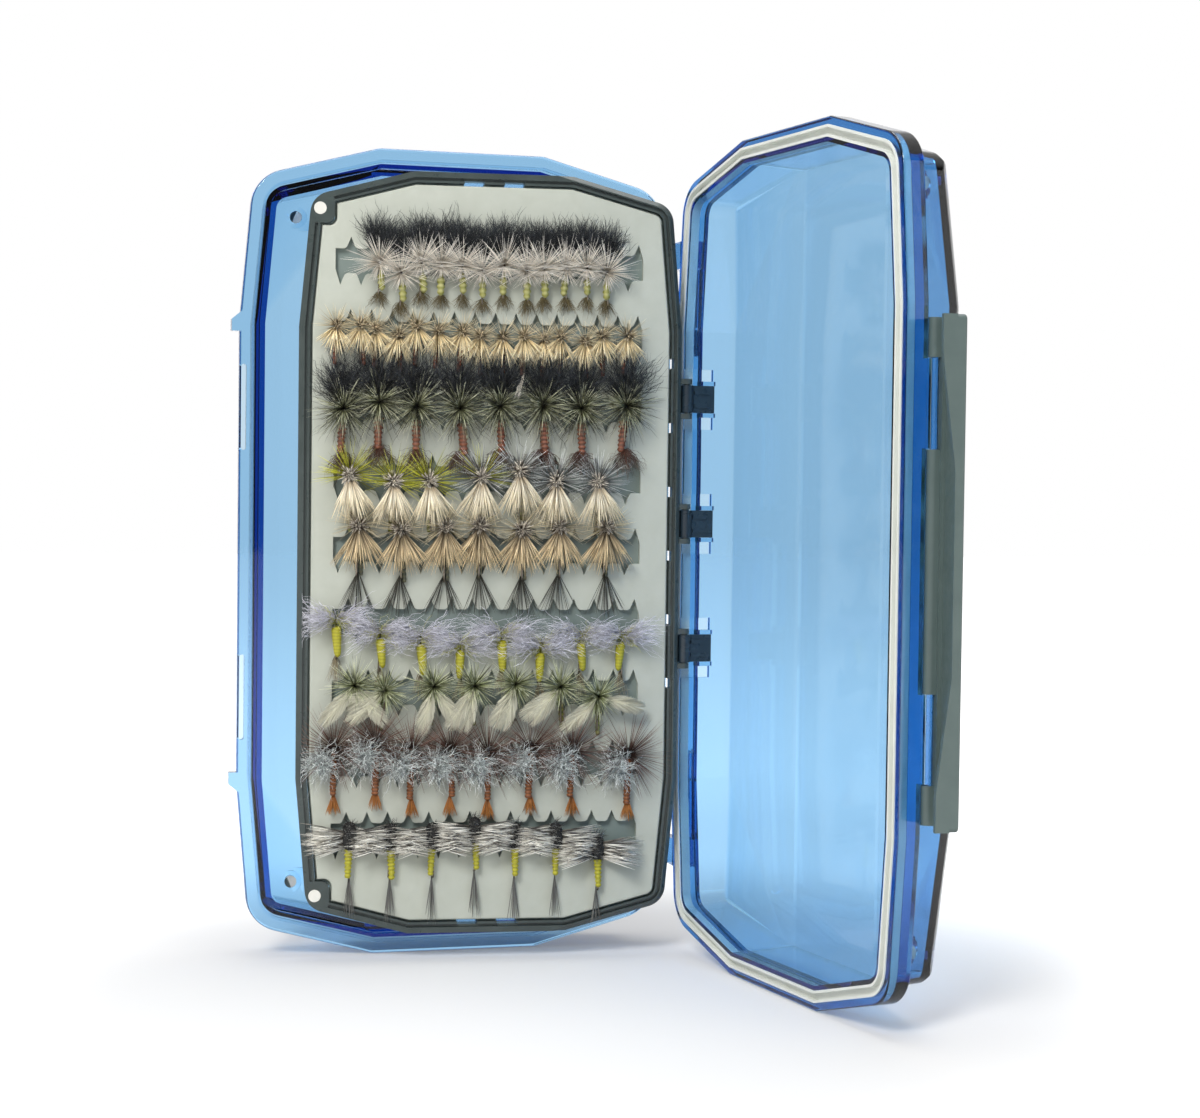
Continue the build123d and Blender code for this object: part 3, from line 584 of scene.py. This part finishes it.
def model_hook(name, shank):
    """Eye at the origin, shank down, bend and point behind it, in millimetres."""
    bpy.ops.object.select_all(action="DESELECT")
    bpy.ops.mesh.primitive_circle_add(vertices=6, radius=HOOK_WIRE, fill_type="NGON",
                                      location=(0, 0, -HOOK_TOP))
    hook = bpy.context.object
    bpy.ops.object.mode_set(mode="EDIT")
    bpy.ops.mesh.select_all(action="SELECT")
    bpy.ops.mesh.extrude_region_move(TRANSFORM_OT_translate={"value": (0, 0, HOOK_TOP - shank)})
    bpy.ops.mesh.spin(steps=8, angle=math.pi, center=(0, HOOK_GAPE / 2, -shank), axis=(-1, 0, 0))
    bpy.ops.mesh.extrude_region_move(TRANSFORM_OT_translate={"value": (0, 0, shank * POINT_RISE)})
    bpy.ops.mesh.extrude_region_move(TRANSFORM_OT_translate={"value": (0, POINT_LEAN, POINT_LENGTH)})
    point = (0, HOOK_GAPE + POINT_LEAN, POINT_LENGTH - shank * (1 - POINT_RISE))
    bpy.ops.transform.resize(value=(POINT_TAPER, POINT_TAPER, 1), center_override=point)
    bpy.ops.object.mode_set(mode="OBJECT")
    bpy.ops.mesh.primitive_torus_add(major_radius=EYE_RING, minor_radius=HOOK_WIRE * 0.8,
                                     major_segments=14, minor_segments=6,
                                     location=(0, 0, -EYE_DROP), rotation=(math.pi / 2, 0, 0))
    hook.select_set(True)
    bpy.context.view_layer.objects.active = hook
    bpy.ops.object.join()
    bpy.ops.object.transform_apply(location=True, rotation=True, scale=True)
    bpy.ops.object.mode_set(mode="EDIT")
    bpy.ops.mesh.select_all(action="SELECT")
    bpy.ops.mesh.remove_doubles(threshold=0.001)
    bpy.ops.mesh.normals_make_consistent(inside=False)
    bpy.ops.object.mode_set(mode="OBJECT")
    hook.name = name
    return hook


# %% Copy a modelled piece to every fly of a row
SIZE_SPREAD = (0.94, 1.06)
RIB_STEPS = 4         # rings for each rib


def copies(template, name, places, rng, turn=0.1, spin=1.0):
    """Joins copies of a template, one for each place, each leant and spun a little differently."""
    corners = np.array([corner.co[:] for corner in template.data.vertices])
    faces = [tuple(face.vertices) for face in template.data.polygons]
    all_corners = []
    all_faces = []
    for index, place in enumerate(places):
        tilt = Matrix.Rotation(rng.uniform(-turn, turn), 3, "Y")
        tilt = tilt @ Matrix.Rotation(rng.uniform(-spin, spin), 3, "Z")
        size = rng.uniform(*SIZE_SPREAD)
        all_corners.append(corners @ np.array(tilt).T * size + np.array(place))
        all_faces += [tuple(corner + index * len(corners) for corner in face) for face in faces]
    mesh = bpy.data.meshes.new(name)
    mesh.from_pydata(np.concatenate(all_corners).tolist(), [], all_faces)
    made = bpy.data.objects.new(name, mesh)
    bpy.context.scene.collection.objects.link(made)
    bpy.data.objects.remove(template)
    return made


def turned_body(name, profile, sides=10):
    """A round body from (height, radius) pairs, top to bottom: a ring extruded and drawn in, step by step."""
    bpy.ops.object.select_all(action="DESELECT")
    top, radius = profile[0]
    bpy.ops.mesh.primitive_circle_add(vertices=sides, radius=radius, fill_type="NGON", location=(0, 0, top))
    body = bpy.context.object
    body.name = name
    bpy.ops.object.mode_set(mode="EDIT")
    for height, next_radius in profile[1:]:
        bpy.ops.mesh.extrude_region_move(TRANSFORM_OT_translate={"value": (0, 0, height - top)})
        ratio = next_radius / radius
        bpy.ops.transform.resize(value=(ratio, ratio, 1), center_override=(0, 0, height))
        top, radius = height, next_radius
    bpy.ops.mesh.select_all(action="SELECT")
    bpy.ops.mesh.normals_make_consistent(inside=False)
    bpy.ops.object.mode_set(mode="OBJECT")
    bpy.ops.object.transform_apply(location=True, rotation=True, scale=True)
    return body


def ribbed_profile(top, bottom, wide, narrow, ribs, depth):
    """Swells and waists down a tapering body."""
    points = [(top, 0.1)]
    steps = ribs * RIB_STEPS
    for step in range(steps + 1):
        share = step / steps
        swell = 1 - depth * (0.5 + 0.5 * math.cos(share * ribs * 2 * math.pi))
        points.append((top + (bottom - top) * share - 0.001 * step,
                       (wide + (narrow - wide) * share) * swell))
    points.append((bottom - 0.15, 0.08))
    return points


# %% Placing bunches and hooks
def fly_places(row, centres):
    """Leaf places of a row's tie points from (distance from the hinge line, height above the slot) pairs."""
    return [(-out, -HOOK_STAND, row_height(row) + rise) for out, rise in centres]


def hair_piece(name, row, places, make, hair, thickness, finish, rng):
    """One bunch for each place, laid as a single piece. make(index) gives the paths of one fly's bunch."""
    paths = np.concatenate([moved(make(index), *place) for index, place in enumerate(places)])
    finish_piece(lay_hairs(name, keep_on_leaf(paths, rng), hair, thickness, rng), row, finish)
    print(name + ":", len(paths), "hairs on", len(places), "flies")


def add_bodies(name, row, places, profile, finish, rng, back=0.0, sides=10, turn=0.1):
    shanks = [(x, y + back, z) for x, y, z in places]
    piece = copies(turned_body("body", profile, sides), name, shanks, rng, turn)
    finish_piece(piece, row, finish)
    print(name + ":", len(places))


def add_hooks(row, places, shank, rng):
    eyes = [(x, y, z + EYE_ABOVE) for x, y, z in places]
    piece = copies(model_hook("hook", shank), "row_%d_hooks" % row, eyes, rng, turn=0.04, spin=0.12)
    finish_piece(piece, row, hook_steel)
    print("row %d hooks:" % row, len(places), "with", shank, "mm shanks")


# %% [markdown]
# ### Row 1: parachute flies
# A frizzy dark post stands up behind a star of straight pale hackle. Below it come three beads of yellow
# dubbing and a short brown tail.

# %% Row 1
rng = np.random.default_rng(1)
places = fly_places(1, [(71.6, -0.4), (66.7, -2.6), (62.2, -0.2), (57.7, -0.7), (52.9, -0.6), (48.4, -1.6),
                        (43.4, -0.4), (38.1, -1.4), (34.3, -0.8), (29.2, -0.7), (24.4, -0.5), (19.8, -1.3)])
black_fluff = fibre("black_fluff", (0.008, 0.009, 0.010), (0.013, 0.015, 0.017), (0.035, 0.040, 0.045), 0.6)
pale_hackle = fibre("pale_hackle", (0.62, 0.55, 0.44), (0.78, 0.72, 0.62), (0.92, 0.88, 0.80), 0.3)
brown_tail = fibre("brown_tail", (0.15, 0.12, 0.045), (0.14, 0.11, 0.05), (0.22, 0.18, 0.10), 0.4)
yellow_dubbing = wound("yellow_dubbing", (0.27, 0.27, 0.06), (0.42, 0.40, 0.16), 260)
hair_piece("row_1_posts", 1, places,
           lambda i: moved(bunch(rng, 250, WAVY, 48, 132, (-25, 30), (5.0, 8.6), 0.5, frizz=0.45),
                           0, 0.8, 2.6),
           WAVY, (0.055, 0.09), black_fluff, rng)
hair_piece("row_1_hackles", 1, places,
           lambda i: np.concatenate([bunch(rng, 120, STRAIGHT, -35, 215, (5, 60), (4.0, 8.8), 0.5,
                                           (0, 0.12, -0.02)),
                                     bunch(rng, 50, STRAIGHT, 215, 325, (5, 60), (3.0, 4.8), 0.5,
                                           (0, 0.12, 0))]),
           STRAIGHT, (0.05, 0.075), pale_hackle, rng)
hair_piece("row_1_tails", 1, places,
           lambda i: moved(bunch(rng, 80, WAVY, 230, 310, (-20, 15), (1.8, 4.2), 0.3, frizz=0.16),
                           0, 0.4, -6.2),
           WAVY, (0.045, 0.075), brown_tail, rng)
add_bodies("row_1_bodies", 1, places, [(-1.4, 0.3), (-2.6, 0.5), (-2.9, 0.8), (-3.4, 0.98), (-3.9, 0.75),
                                       (-4.05, 0.6), (-4.4, 0.9), (-4.8, 0.95), (-5.2, 0.65), (-5.6, 0.82),
                                       (-6.0, 0.78), (-6.4, 0.4), (-6.6, 0.1)],
           yellow_dubbing, rng)
add_hooks(1, places, 7.5, rng)

# %% [markdown]
# ### Row 2: elk hair flies
# A wedge of straight tan deer hair points down over a rusty body. Its cut butts make a small round head,
# and a little fine hackle shows round it. One fly has a frayed end of pale thread hanging from its body.

# %% Row 2
rng = np.random.default_rng(2)
places = fly_places(2, [(81.2, 1.5), (75.7, 1.7), (72.4, 0.9), (67.2, -0.2), (63.1, 1.7), (58.2, 0.7),
                        (52.7, 0.8), (48.6, -0.2), (43.6, -0.3), (38.6, 0.0), (34.0, -0.5), (30.3, -0.0),
                        (24.6, -0.8), (20.7, 0.4), (14.9, 0.6)])
tan_hair = fibre("tan_hair", (0.42, 0.30, 0.13), (0.88, 0.72, 0.42), (0.98, 0.88, 0.62), 0.35)
hair_butts = fibre("hair_butts", (0.05, 0.04, 0.03), (0.30, 0.24, 0.15), (0.74, 0.62, 0.42), 0.85)
fine_tan = fibre("fine_tan", (0.34, 0.28, 0.16), (0.58, 0.50, 0.32), (0.70, 0.62, 0.44), 0.5)
rust_body = wound("rust_body", (0.26, 0.09, 0.045), (0.12, 0.045, 0.025), 330)
lean = rng.uniform(-16, 16, len(places))
hair_piece("row_2_wings", 2, places,
           lambda i: bunch(rng, 95, STRAIGHT, 222 + lean[i], 318 + lean[i], (0, 50), (3.6, 7.0), 0.9,
                           (0, 0.1, 0)),
           STRAIGHT, (0.085, 0.145), tan_hair, rng)
hair_piece("row_2_butts", 2, places, lambda i: bunch(rng, 80, STRAIGHT, 0, 360, (15, 88), (1.5, 2.4), 0.3),
           STRAIGHT, (0.10, 0.15), hair_butts, rng)
hair_piece("row_2_hackles", 2, places,
           lambda i: bunch(rng, 75, STRAIGHT, -40, 220, (0, 50), (2.6, 5.6), 0.5),
           STRAIGHT, (0.045, 0.075), fine_tan, rng)
add_bodies("row_2_bodies", 2, places, ribbed_profile(-0.6, -8.6, 0.8, 0.5, 8, 0.3), rust_body, rng,
           back=0.8)
hair_piece("row_2_thread", 2, places[9:10],
           lambda i: moved(bunch(rng, 16, WAVY, 246, 258, (5, 20), (5.0, 6.6), 0.2, frizz=0.08),
                           0, -1.0, -8.2),
           WAVY, (0.05, 0.08), pale_hackle, rng)
add_hooks(2, places, 9.0, rng)

# %% [markdown]
# ### Row 3: big dark puffs
# Large parachutes: black frizz above, a wide grizzly and olive hackle, and a red-brown ribbed body with a
# wisp of brown tail. Dark and pale fibres are tied in together, which is what makes the hackle sparkle.

# %% Row 3
rng = np.random.default_rng(3)
places = fly_places(3, [(79.4, -0.1), (71.4, 1.6), (62.9, 0.8), (53.1, 0.4), (44.0, 1.1), (34.2, 1.3),
                        (25.4, 0.9), (15.0, 1.6)])
grizzly_olive = fibre("grizzly_olive", (0.05, 0.05, 0.02), (0.27, 0.28, 0.15), (0.62, 0.62, 0.46), 0.8)
dark_olive = fibre("dark_olive", (0.010, 0.010, 0.008), (0.040, 0.042, 0.028), (0.10, 0.10, 0.075), 0.5)
rust_tail = fibre("rust_tail", (0.13, 0.05, 0.03), (0.09, 0.045, 0.03), (0.15, 0.10, 0.07), 0.5)
hair_piece("row_3_posts", 3, places,
           lambda i: moved(bunch(rng, 330, WAVY, 38, 142, (-30, 45), (5.0, 10.4), 0.6, frizz=0.7),
                           0, 0.5, 1.2),
           WAVY, (0.055, 0.09), black_fluff, rng)
hair_piece("row_3_hackles", 3, places,
           lambda i: moved(bunch(rng, 270, STRAIGHT, 0, 360, (5, 75), (3.6, 9.2), 0.6, (0, 0.16, -0.08)),
                           0, 0, -0.8),
           STRAIGHT, (0.045, 0.075), grizzly_olive, rng)
hair_piece("row_3_dark_hackles", 3, places,
           lambda i: moved(bunch(rng, 190, WAVY, 0, 360, (-5, 70), (3.6, 9.2), 0.6, (0, 0.16, -0.1), 0.25),
                           0, 0, -1.0),
           WAVY, (0.05, 0.08), dark_olive, rng)
hair_piece("row_3_tails", 3, places,
           lambda i: moved(bunch(rng, 110, WAVY, 226, 314, (-15, 30), (3.4, 6.8), 0.4, frizz=0.35),
                           0, 0.2, -10.2),
           WAVY, (0.05, 0.075), rust_tail, rng)
add_bodies("row_3_bodies", 3, places, ribbed_profile(-4.0, -11.2, 1.3, 0.9, 7, 0.34), rust_body, rng)
add_hooks(3, places, 11.0, rng)

# %% [markdown]
# ### Row 4: pale straw wings
# Seven large hair wings in pale straw with clipped grey heads. The three on the left have a chartreuse
# hackle, the next has some of both colours, and the rest are grey.

# %% Row 4
rng = np.random.default_rng(4)
places = fly_places(4, [(77.9, 0.5), (68.0, -0.7), (59.9, -0.6), (48.0, 0.4), (39.4, 2.0), (30.8, -0.2),
                        (21.2, -0.4)])
straw_hair = fibre("straw_hair", (0.62, 0.50, 0.34), (0.94, 0.86, 0.68), (0.98, 0.86, 0.60), 0.28)
grey_butts = fibre("grey_butts", (0.05, 0.045, 0.035), (0.34, 0.30, 0.24), (0.80, 0.74, 0.64), 0.8)
chartreuse = fibre("chartreuse", (0.14, 0.15, 0.010), (0.43, 0.43, 0.025), (0.62, 0.62, 0.11), 0.7)
grey_hackle = fibre("grey_hackle", (0.05, 0.05, 0.045), (0.36, 0.37, 0.35), (0.70, 0.72, 0.70), 0.75)
olive_body = wound("olive_body", (0.22, 0.24, 0.05), (0.12, 0.12, 0.04), 300)
lean = rng.uniform(-7, 7, len(places))
hair_piece("row_4_wings", 4, places,
           lambda i: bunch(rng, 165, STRAIGHT, 236 + lean[i], 304 + lean[i], (5, 50), (6.0, 10.0), 2.2,
                           (0, 0.2, 0)),
           STRAIGHT, (0.085, 0.145), straw_hair, rng)
hair_piece("row_4_butts", 4, places, lambda i: bunch(rng, 210, STRAIGHT, 0, 360, (10, 90), (2.2, 3.1), 0.2),
           STRAIGHT, (0.11, 0.16), grey_butts, rng)
hair_piece("row_4_green_hackles", 4, places[:4],
           lambda i: bunch(rng, 125 if i < 3 else 50, STRAIGHT, -40, 200, (-5, 45), (3.6, 8.6), 0.8),
           STRAIGHT, (0.05, 0.075), chartreuse, rng)
hair_piece("row_4_grey_hackles", 4, places[3:],
           lambda i: bunch(rng, 150, STRAIGHT, -50, 220, (-5, 45), (3.8, 8.4), 0.8),
           STRAIGHT, (0.05, 0.075), grey_hackle, rng)
add_bodies("row_4_bodies", 4, places, ribbed_profile(-1.0, -12.0, 1.0, 0.6, 9, 0.25), olive_body, rng,
           back=0.8)
add_hooks(4, places, 11.5, rng)

# %% [markdown]
# ### Row 5: brown and gold wings
# The same pattern in darker hair that turns gold at its tips, with a fan of long stiff tail fibres below.

# %% Row 5
rng = np.random.default_rng(5)
places = fly_places(5, [(75.8, 5.6), (66.3, 4.8), (56.2, 5.2), (48.4, 5.6), (38.7, 4.8), (30.1, 5.5),
                        (19.2, 5.6)])
gold_hair = fibre("gold_hair", (0.09, 0.068, 0.042), (0.50, 0.39, 0.24), (0.97, 0.78, 0.47), 0.55)
dark_butts = fibre("dark_butts", (0.04, 0.035, 0.03), (0.24, 0.20, 0.16), (0.66, 0.60, 0.50), 0.9)
stiff_tail = fibre("stiff_tail", (0.040, 0.038, 0.028), (0.050, 0.048, 0.036), (0.085, 0.080, 0.060),
                   0.4, 0.4)
dark_olive_body = wound("dark_olive_body", (0.085, 0.085, 0.04), (0.045, 0.045, 0.03), 300)
lean = rng.uniform(-6, 6, len(places))
hair_piece("row_5_wings", 5, places,
           lambda i: bunch(rng, 240, STRAIGHT, 230 + lean[i], 310 + lean[i], (0, 54), (5.6, 9.8), 1.8,
                           (0, 0.22, 0)),
           STRAIGHT, (0.075, 0.125), gold_hair, rng)
hair_piece("row_5_butts", 5, places, lambda i: bunch(rng, 200, STRAIGHT, 0, 360, (10, 90), (2.1, 3.1), 0.2),
           STRAIGHT, (0.10, 0.15), dark_butts, rng)
hair_piece("row_5_hackles", 5, places,
           lambda i: bunch(rng, 100, STRAIGHT, -40, 220, (-5, 40), (3.4, 6.8), 1.0),
           STRAIGHT, (0.045, 0.07), fine_tan, rng)
hair_piece("row_5_tails", 5, places,
           lambda i: moved(bunch(rng, 26, STRAIGHT, 240, 300, (-8, 12), (8.4, 10.6)), 0, 0.6, -10.4),
           STRAIGHT, (0.06, 0.10), stiff_tail, rng)
add_bodies("row_5_bodies", 5, places, ribbed_profile(-1.0, -12.0, 0.9, 0.5, 9, 0.25), dark_olive_body, rng,
           back=0.8)
add_hooks(5, places, 11.5, rng)

# %% [markdown]
# ### Row 6: spent wings
# Flat wings of frizzy grey fibre lie out to both sides of a smooth yellow body, with a tail of brown fibres.

# %% Row 6
rng = np.random.default_rng(6)
places = fly_places(6, [(80.7, 0.0), (70.7, -2.9), (61.5, -4.0), (52.5, -5.4), (43.0, -3.1), (34.1, -6.0),
                        (24.9, -3.5), (15.4, -3.5)])
lilac_fluff = fibre("lilac_fluff", (0.42, 0.41, 0.45), (0.66, 0.65, 0.72), (0.88, 0.87, 0.93), 0.45)
lime_wisps = fibre("lime_wisps", (0.30, 0.30, 0.03), (0.46, 0.46, 0.10), (0.62, 0.62, 0.30), 0.4)
clear_tail = fibre("clear_tail", (0.20, 0.16, 0.09), (0.32, 0.27, 0.17), (0.42, 0.38, 0.28), 0.4)
yellow_body = wound("yellow_body", (0.46, 0.43, 0.025), (0.34, 0.31, 0.02), 420)


def both_sides(make):
    """The same kind of bunch to the right and to the left."""
    to_right = make()
    to_left = make()
    to_left[..., 0] *= -1
    return np.concatenate([to_right, to_left])


def spent_wing():
    return bunch(rng, 200, WAVY, -24, 24, (-10, 40), (3.0, 9.6), 0.5, frizz=0.48)


def side_wisps():
    return bunch(rng, 34, WAVY, -40, 60, (0, 60), (2.0, 5.6), 0.3, frizz=0.35)


hair_piece("row_6_wings", 6, places, lambda i: moved(both_sides(spent_wing), 0, 0, 0.8),
           WAVY, (0.05, 0.08), lilac_fluff, rng)
hair_piece("row_6_wisps", 6, places, lambda i: both_sides(side_wisps),
           WAVY, (0.05, 0.075), lime_wisps, rng)
hair_piece("row_6_tails", 6, places,
           lambda i: moved(bunch(rng, 34, WAVY, 252, 288, (-10, 10), (4.6, 6.8), 0.2, (0, 0, 0), 0.12),
                           0, 0.6, -7.4),
           WAVY, (0.055, 0.085), clear_tail, rng)
add_bodies("row_6_bodies", 6, places, [(-0.9, 0.2), (-1.2, 0.9), (-1.9, 1.15), (-3.0, 1.12), (-4.4, 1.02),
                                       (-5.9, 0.9), (-7.1, 0.78), (-7.7, 0.55), (-8.0, 0.1)],
           yellow_body, rng, sides=12)
add_hooks(6, places, 9.0, rng)

# %% [markdown]
# ### Row 7: olive hackle and cream feather wings
# Feather tips are laid as close barbs along a quill, so each wing is a soft blade with a fringed edge.

# %% Row 7
rng = np.random.default_rng(7)
places = fly_places(7, [(76.4, 1.8), (69.6, 0.7), (58.5, 1.6), (49.2, 1.8), (39.8, 2.1), (29.4, 1.6),
                        (20.6, -0.7)])
olive_hackle = fibre("olive_hackle", (0.05, 0.06, 0.018), (0.32, 0.35, 0.17), (0.70, 0.71, 0.52), 0.8)
cream_feather = fibre("cream_feather", (0.50, 0.48, 0.35), (0.62, 0.60, 0.47), (0.70, 0.68, 0.55), 0.15)
WING_ANGLES = ((228, 305), (222, 196), (250, 300), (240, 262), (236, 255), (215, 232), (228, 340))
BARB_PAIRS = 56
QUILL_SHARE = 0.86    # quill's length as a share of the feather's
BARB_LEAN = 27        # degrees that the lowest barbs lean from the quill
FEATHER_LIFT = 1.6    # towards the eye at the root
FEATHER_BOW = 1.1     # and this much more half way


def feather(angle, length, width):
    """Barbs either side of a quill that leaves the origin at this angle in the leaf's plane."""
    barbs = 2 * BARB_PAIRS
    along = np.repeat(np.linspace(0.12, 1.0, BARB_PAIRS), 2)
    side = np.tile([1.0, -1.0], BARB_PAIRS)
    heading = np.radians(angle)
    quill = np.stack([np.cos(heading) * along, 0 * along, np.sin(heading) * along], axis=1)
    quill = quill * length * QUILL_SHARE
    lean = heading + side * np.radians(BARB_LEAN) * (1.05 - along * 0.85)
    fullness = 0.6 + 1.5 * np.sin(np.pi * np.clip(along, 0, 0.94)) ** 0.6
    reach = width * fullness * rng.uniform(0.88, 1.08, barbs)
    tip = np.stack([np.cos(lean), rng.normal(0, 0.05, barbs), np.sin(lean)], axis=1) * reach[:, None]
    steps = np.linspace(0, 1, WAVY.knots)
    paths = quill[:, None] + tip[:, None] * steps[None, :, None]
    away = np.linalg.norm(paths, axis=-1) / (length * 1.25)
    paths[..., 1] -= FEATHER_LIFT + FEATHER_BOW * np.sin(np.pi * np.clip(away, 0, 1))
    return paths


hair_piece("row_7_feathers", 7, places,
           lambda i: np.concatenate([feather(angle + rng.uniform(-6, 6), rng.uniform(9.0, 10.5), 2.8)
                                     for angle in WING_ANGLES[i]]),
           WAVY, (0.085, 0.13), cream_feather, rng)
hair_piece("row_7_hackles", 7, places,
           lambda i: bunch(rng, 330, STRAIGHT, 0, 360, (5, 78), (3.0, 7.6), 0.5, (0, 0.14, -0.02)),
           STRAIGHT, (0.045, 0.075), olive_hackle, rng)
add_bodies("row_7_bodies", 7, places, ribbed_profile(-1.0, -9.0, 0.9, 0.5, 7, 0.25), olive_body, rng,
           back=0.6)
add_hooks(7, places, 8.5, rng)

# %% [markdown]
# ### Row 8: blue-dun puffs
# A round puff of pale blue-grey frizz sits low on the left of each fly, brown hackle fans out round it,
# and an orange body ends in a brush.

# %% Row 8
rng = np.random.default_rng(8)
places = fly_places(8, [(80.9, 3.8), (71.5, 4.9), (63.3, 3.1), (54.5, 3.3), (45.9, 2.6), (36.0, 3.6),
                        (26.4, 3.1), (13.4, 2.1)])
dun_fluff = fibre("dun_fluff", (0.20, 0.225, 0.215), (0.54, 0.59, 0.57), (0.93, 0.95, 0.92), 0.6)
brown_hackle = fibre("brown_hackle", (0.030, 0.014, 0.010), (0.12, 0.060, 0.042), (0.27, 0.16, 0.12), 0.5)
orange_brush = fibre("orange_brush", (0.24, 0.075, 0.015), (0.38, 0.14, 0.03), (0.50, 0.21, 0.05), 0.4)
orange_body = wound("orange_body", (0.26, 0.085, 0.02), (0.12, 0.04, 0.012), 420)
hair_piece("row_8_puffs", 8, places,
           lambda i: moved(bunch(rng, 430, WAVY, 0, 360, (0, 85), (2.0, 6.4), 0.3, frizz=0.5),
                           -2.8, -0.4, -3.0),
           WAVY, (0.05, 0.08), dun_fluff, rng)
hair_piece("row_8_hackles", 8, places,
           lambda i: bunch(rng, 190, STRAIGHT, -80, 230, (-5, 50), (5.0, 11.4), 0.6, (0, 0.14, 0)),
           STRAIGHT, (0.045, 0.07), brown_hackle, rng)
hair_piece("row_8_brushes", 8, places,
           lambda i: moved(bunch(rng, 120, STRAIGHT, 250, 290, (-12, 20), (2.8, 5.4)), 0, 0.4, -10.0),
           STRAIGHT, (0.06, 0.09), orange_brush, rng)
add_bodies("row_8_bodies", 8, places, ribbed_profile(-1.0, -11.2, 0.95, 0.85, 12, 0.24), orange_body, rng,
           turn=0.05)
add_hooks(8, places, 11.0, rng)

# %% [markdown]
# ### Row 9: black heads
# A long knob of black dubbing makes the head, rough with short clipped fibres. Banded grey and white hair
# lies flat to both sides, and the yellow body is ribbed and ends in a few long grey fibres.

# %% Row 9
rng = np.random.default_rng(9)
places = fly_places(9, [(77.2, 1.7), (68.0, 1.4), (58.4, 1.5), (48.7, 2.7), (39.5, 1.4), (30.1, 1.3),
                        (20.4, -1.4)])
white_hair = fibre("white_hair", (0.30, 0.28, 0.24), (0.97, 0.95, 0.87), (0.95, 0.92, 0.82), 0.35)
dark_bands = fibre("dark_bands", (0.30, 0.27, 0.22), (0.035, 0.031, 0.028), (0.55, 0.51, 0.43), 0.6)
long_tail = fibre("long_tail", (0.10, 0.098, 0.090), (0.13, 0.127, 0.118), (0.20, 0.195, 0.18), 0.35, 0.4)
clipped_fuzz = fibre("clipped_fuzz", (0.010, 0.010, 0.010), (0.035, 0.036, 0.034), (0.20, 0.20, 0.18), 0.8)
black_dubbing = wound("black_dubbing", (0.010, 0.010, 0.010), (0.026, 0.026, 0.024), 700, 0.8)


def combed(count, reach, heights):
    """Hair that lies flat to both sides, tied in at several heights behind the head."""
    def one_side():
        return bunch(rng, count, STRAIGHT, -15, 13, (0, 45), reach, 1.2, (0, 0.2, -0.02))

    return np.concatenate([moved(both_sides(one_side), 0, 0.5, height) for height in heights])


def clipped():
    return bunch(rng, 60, WAVY, 0, 360, (-10, 80), (1.4, 2.1), 0.6, frizz=0.16)


hair_piece("row_9_wings", 9, places, lambda i: combed(80, (3.6, 10.2), (-1.0, -2.4, -3.8)),
           STRAIGHT, (0.08, 0.13), white_hair, rng)
hair_piece("row_9_dark_bands", 9, places, lambda i: combed(54, (3.4, 10.4), (-0.7, -2.1, -3.5)),
           STRAIGHT, (0.07, 0.11), dark_bands, rng)
hair_piece("row_9_fuzz", 9, places,
           lambda i: np.concatenate([moved(clipped(), 0, 0, height) for height in (0.6, -1.2, -3.0)]),
           WAVY, (0.06, 0.10), clipped_fuzz, rng)
hair_piece("row_9_tails", 9, places,
           lambda i: moved(bunch(rng, 12, STRAIGHT, 261, 279, (-3, 6), (8.6, 11.2)), 0, 0.7, -10.6),
           STRAIGHT, (0.09, 0.13), long_tail, rng)
add_bodies("row_9_bodies", 9, places, ribbed_profile(-4.4, -11.0, 1.1, 0.74, 7, 0.3), yellow_body, rng,
           turn=0.05)
add_bodies("row_9_heads", 9, places, [(1.6, 0.3), (1.4, 0.9), (0.9, 1.3), (0.2, 1.5), (-0.5, 1.55),
                                      (-1.3, 1.75), (-2.3, 1.85), (-3.2, 1.7), (-4.0, 1.3), (-4.5, 0.9),
                                      (-4.7, 0.3)],
           black_dubbing, rng, sides=16, turn=0.05)
add_hooks(9, places, 11.0, rng)
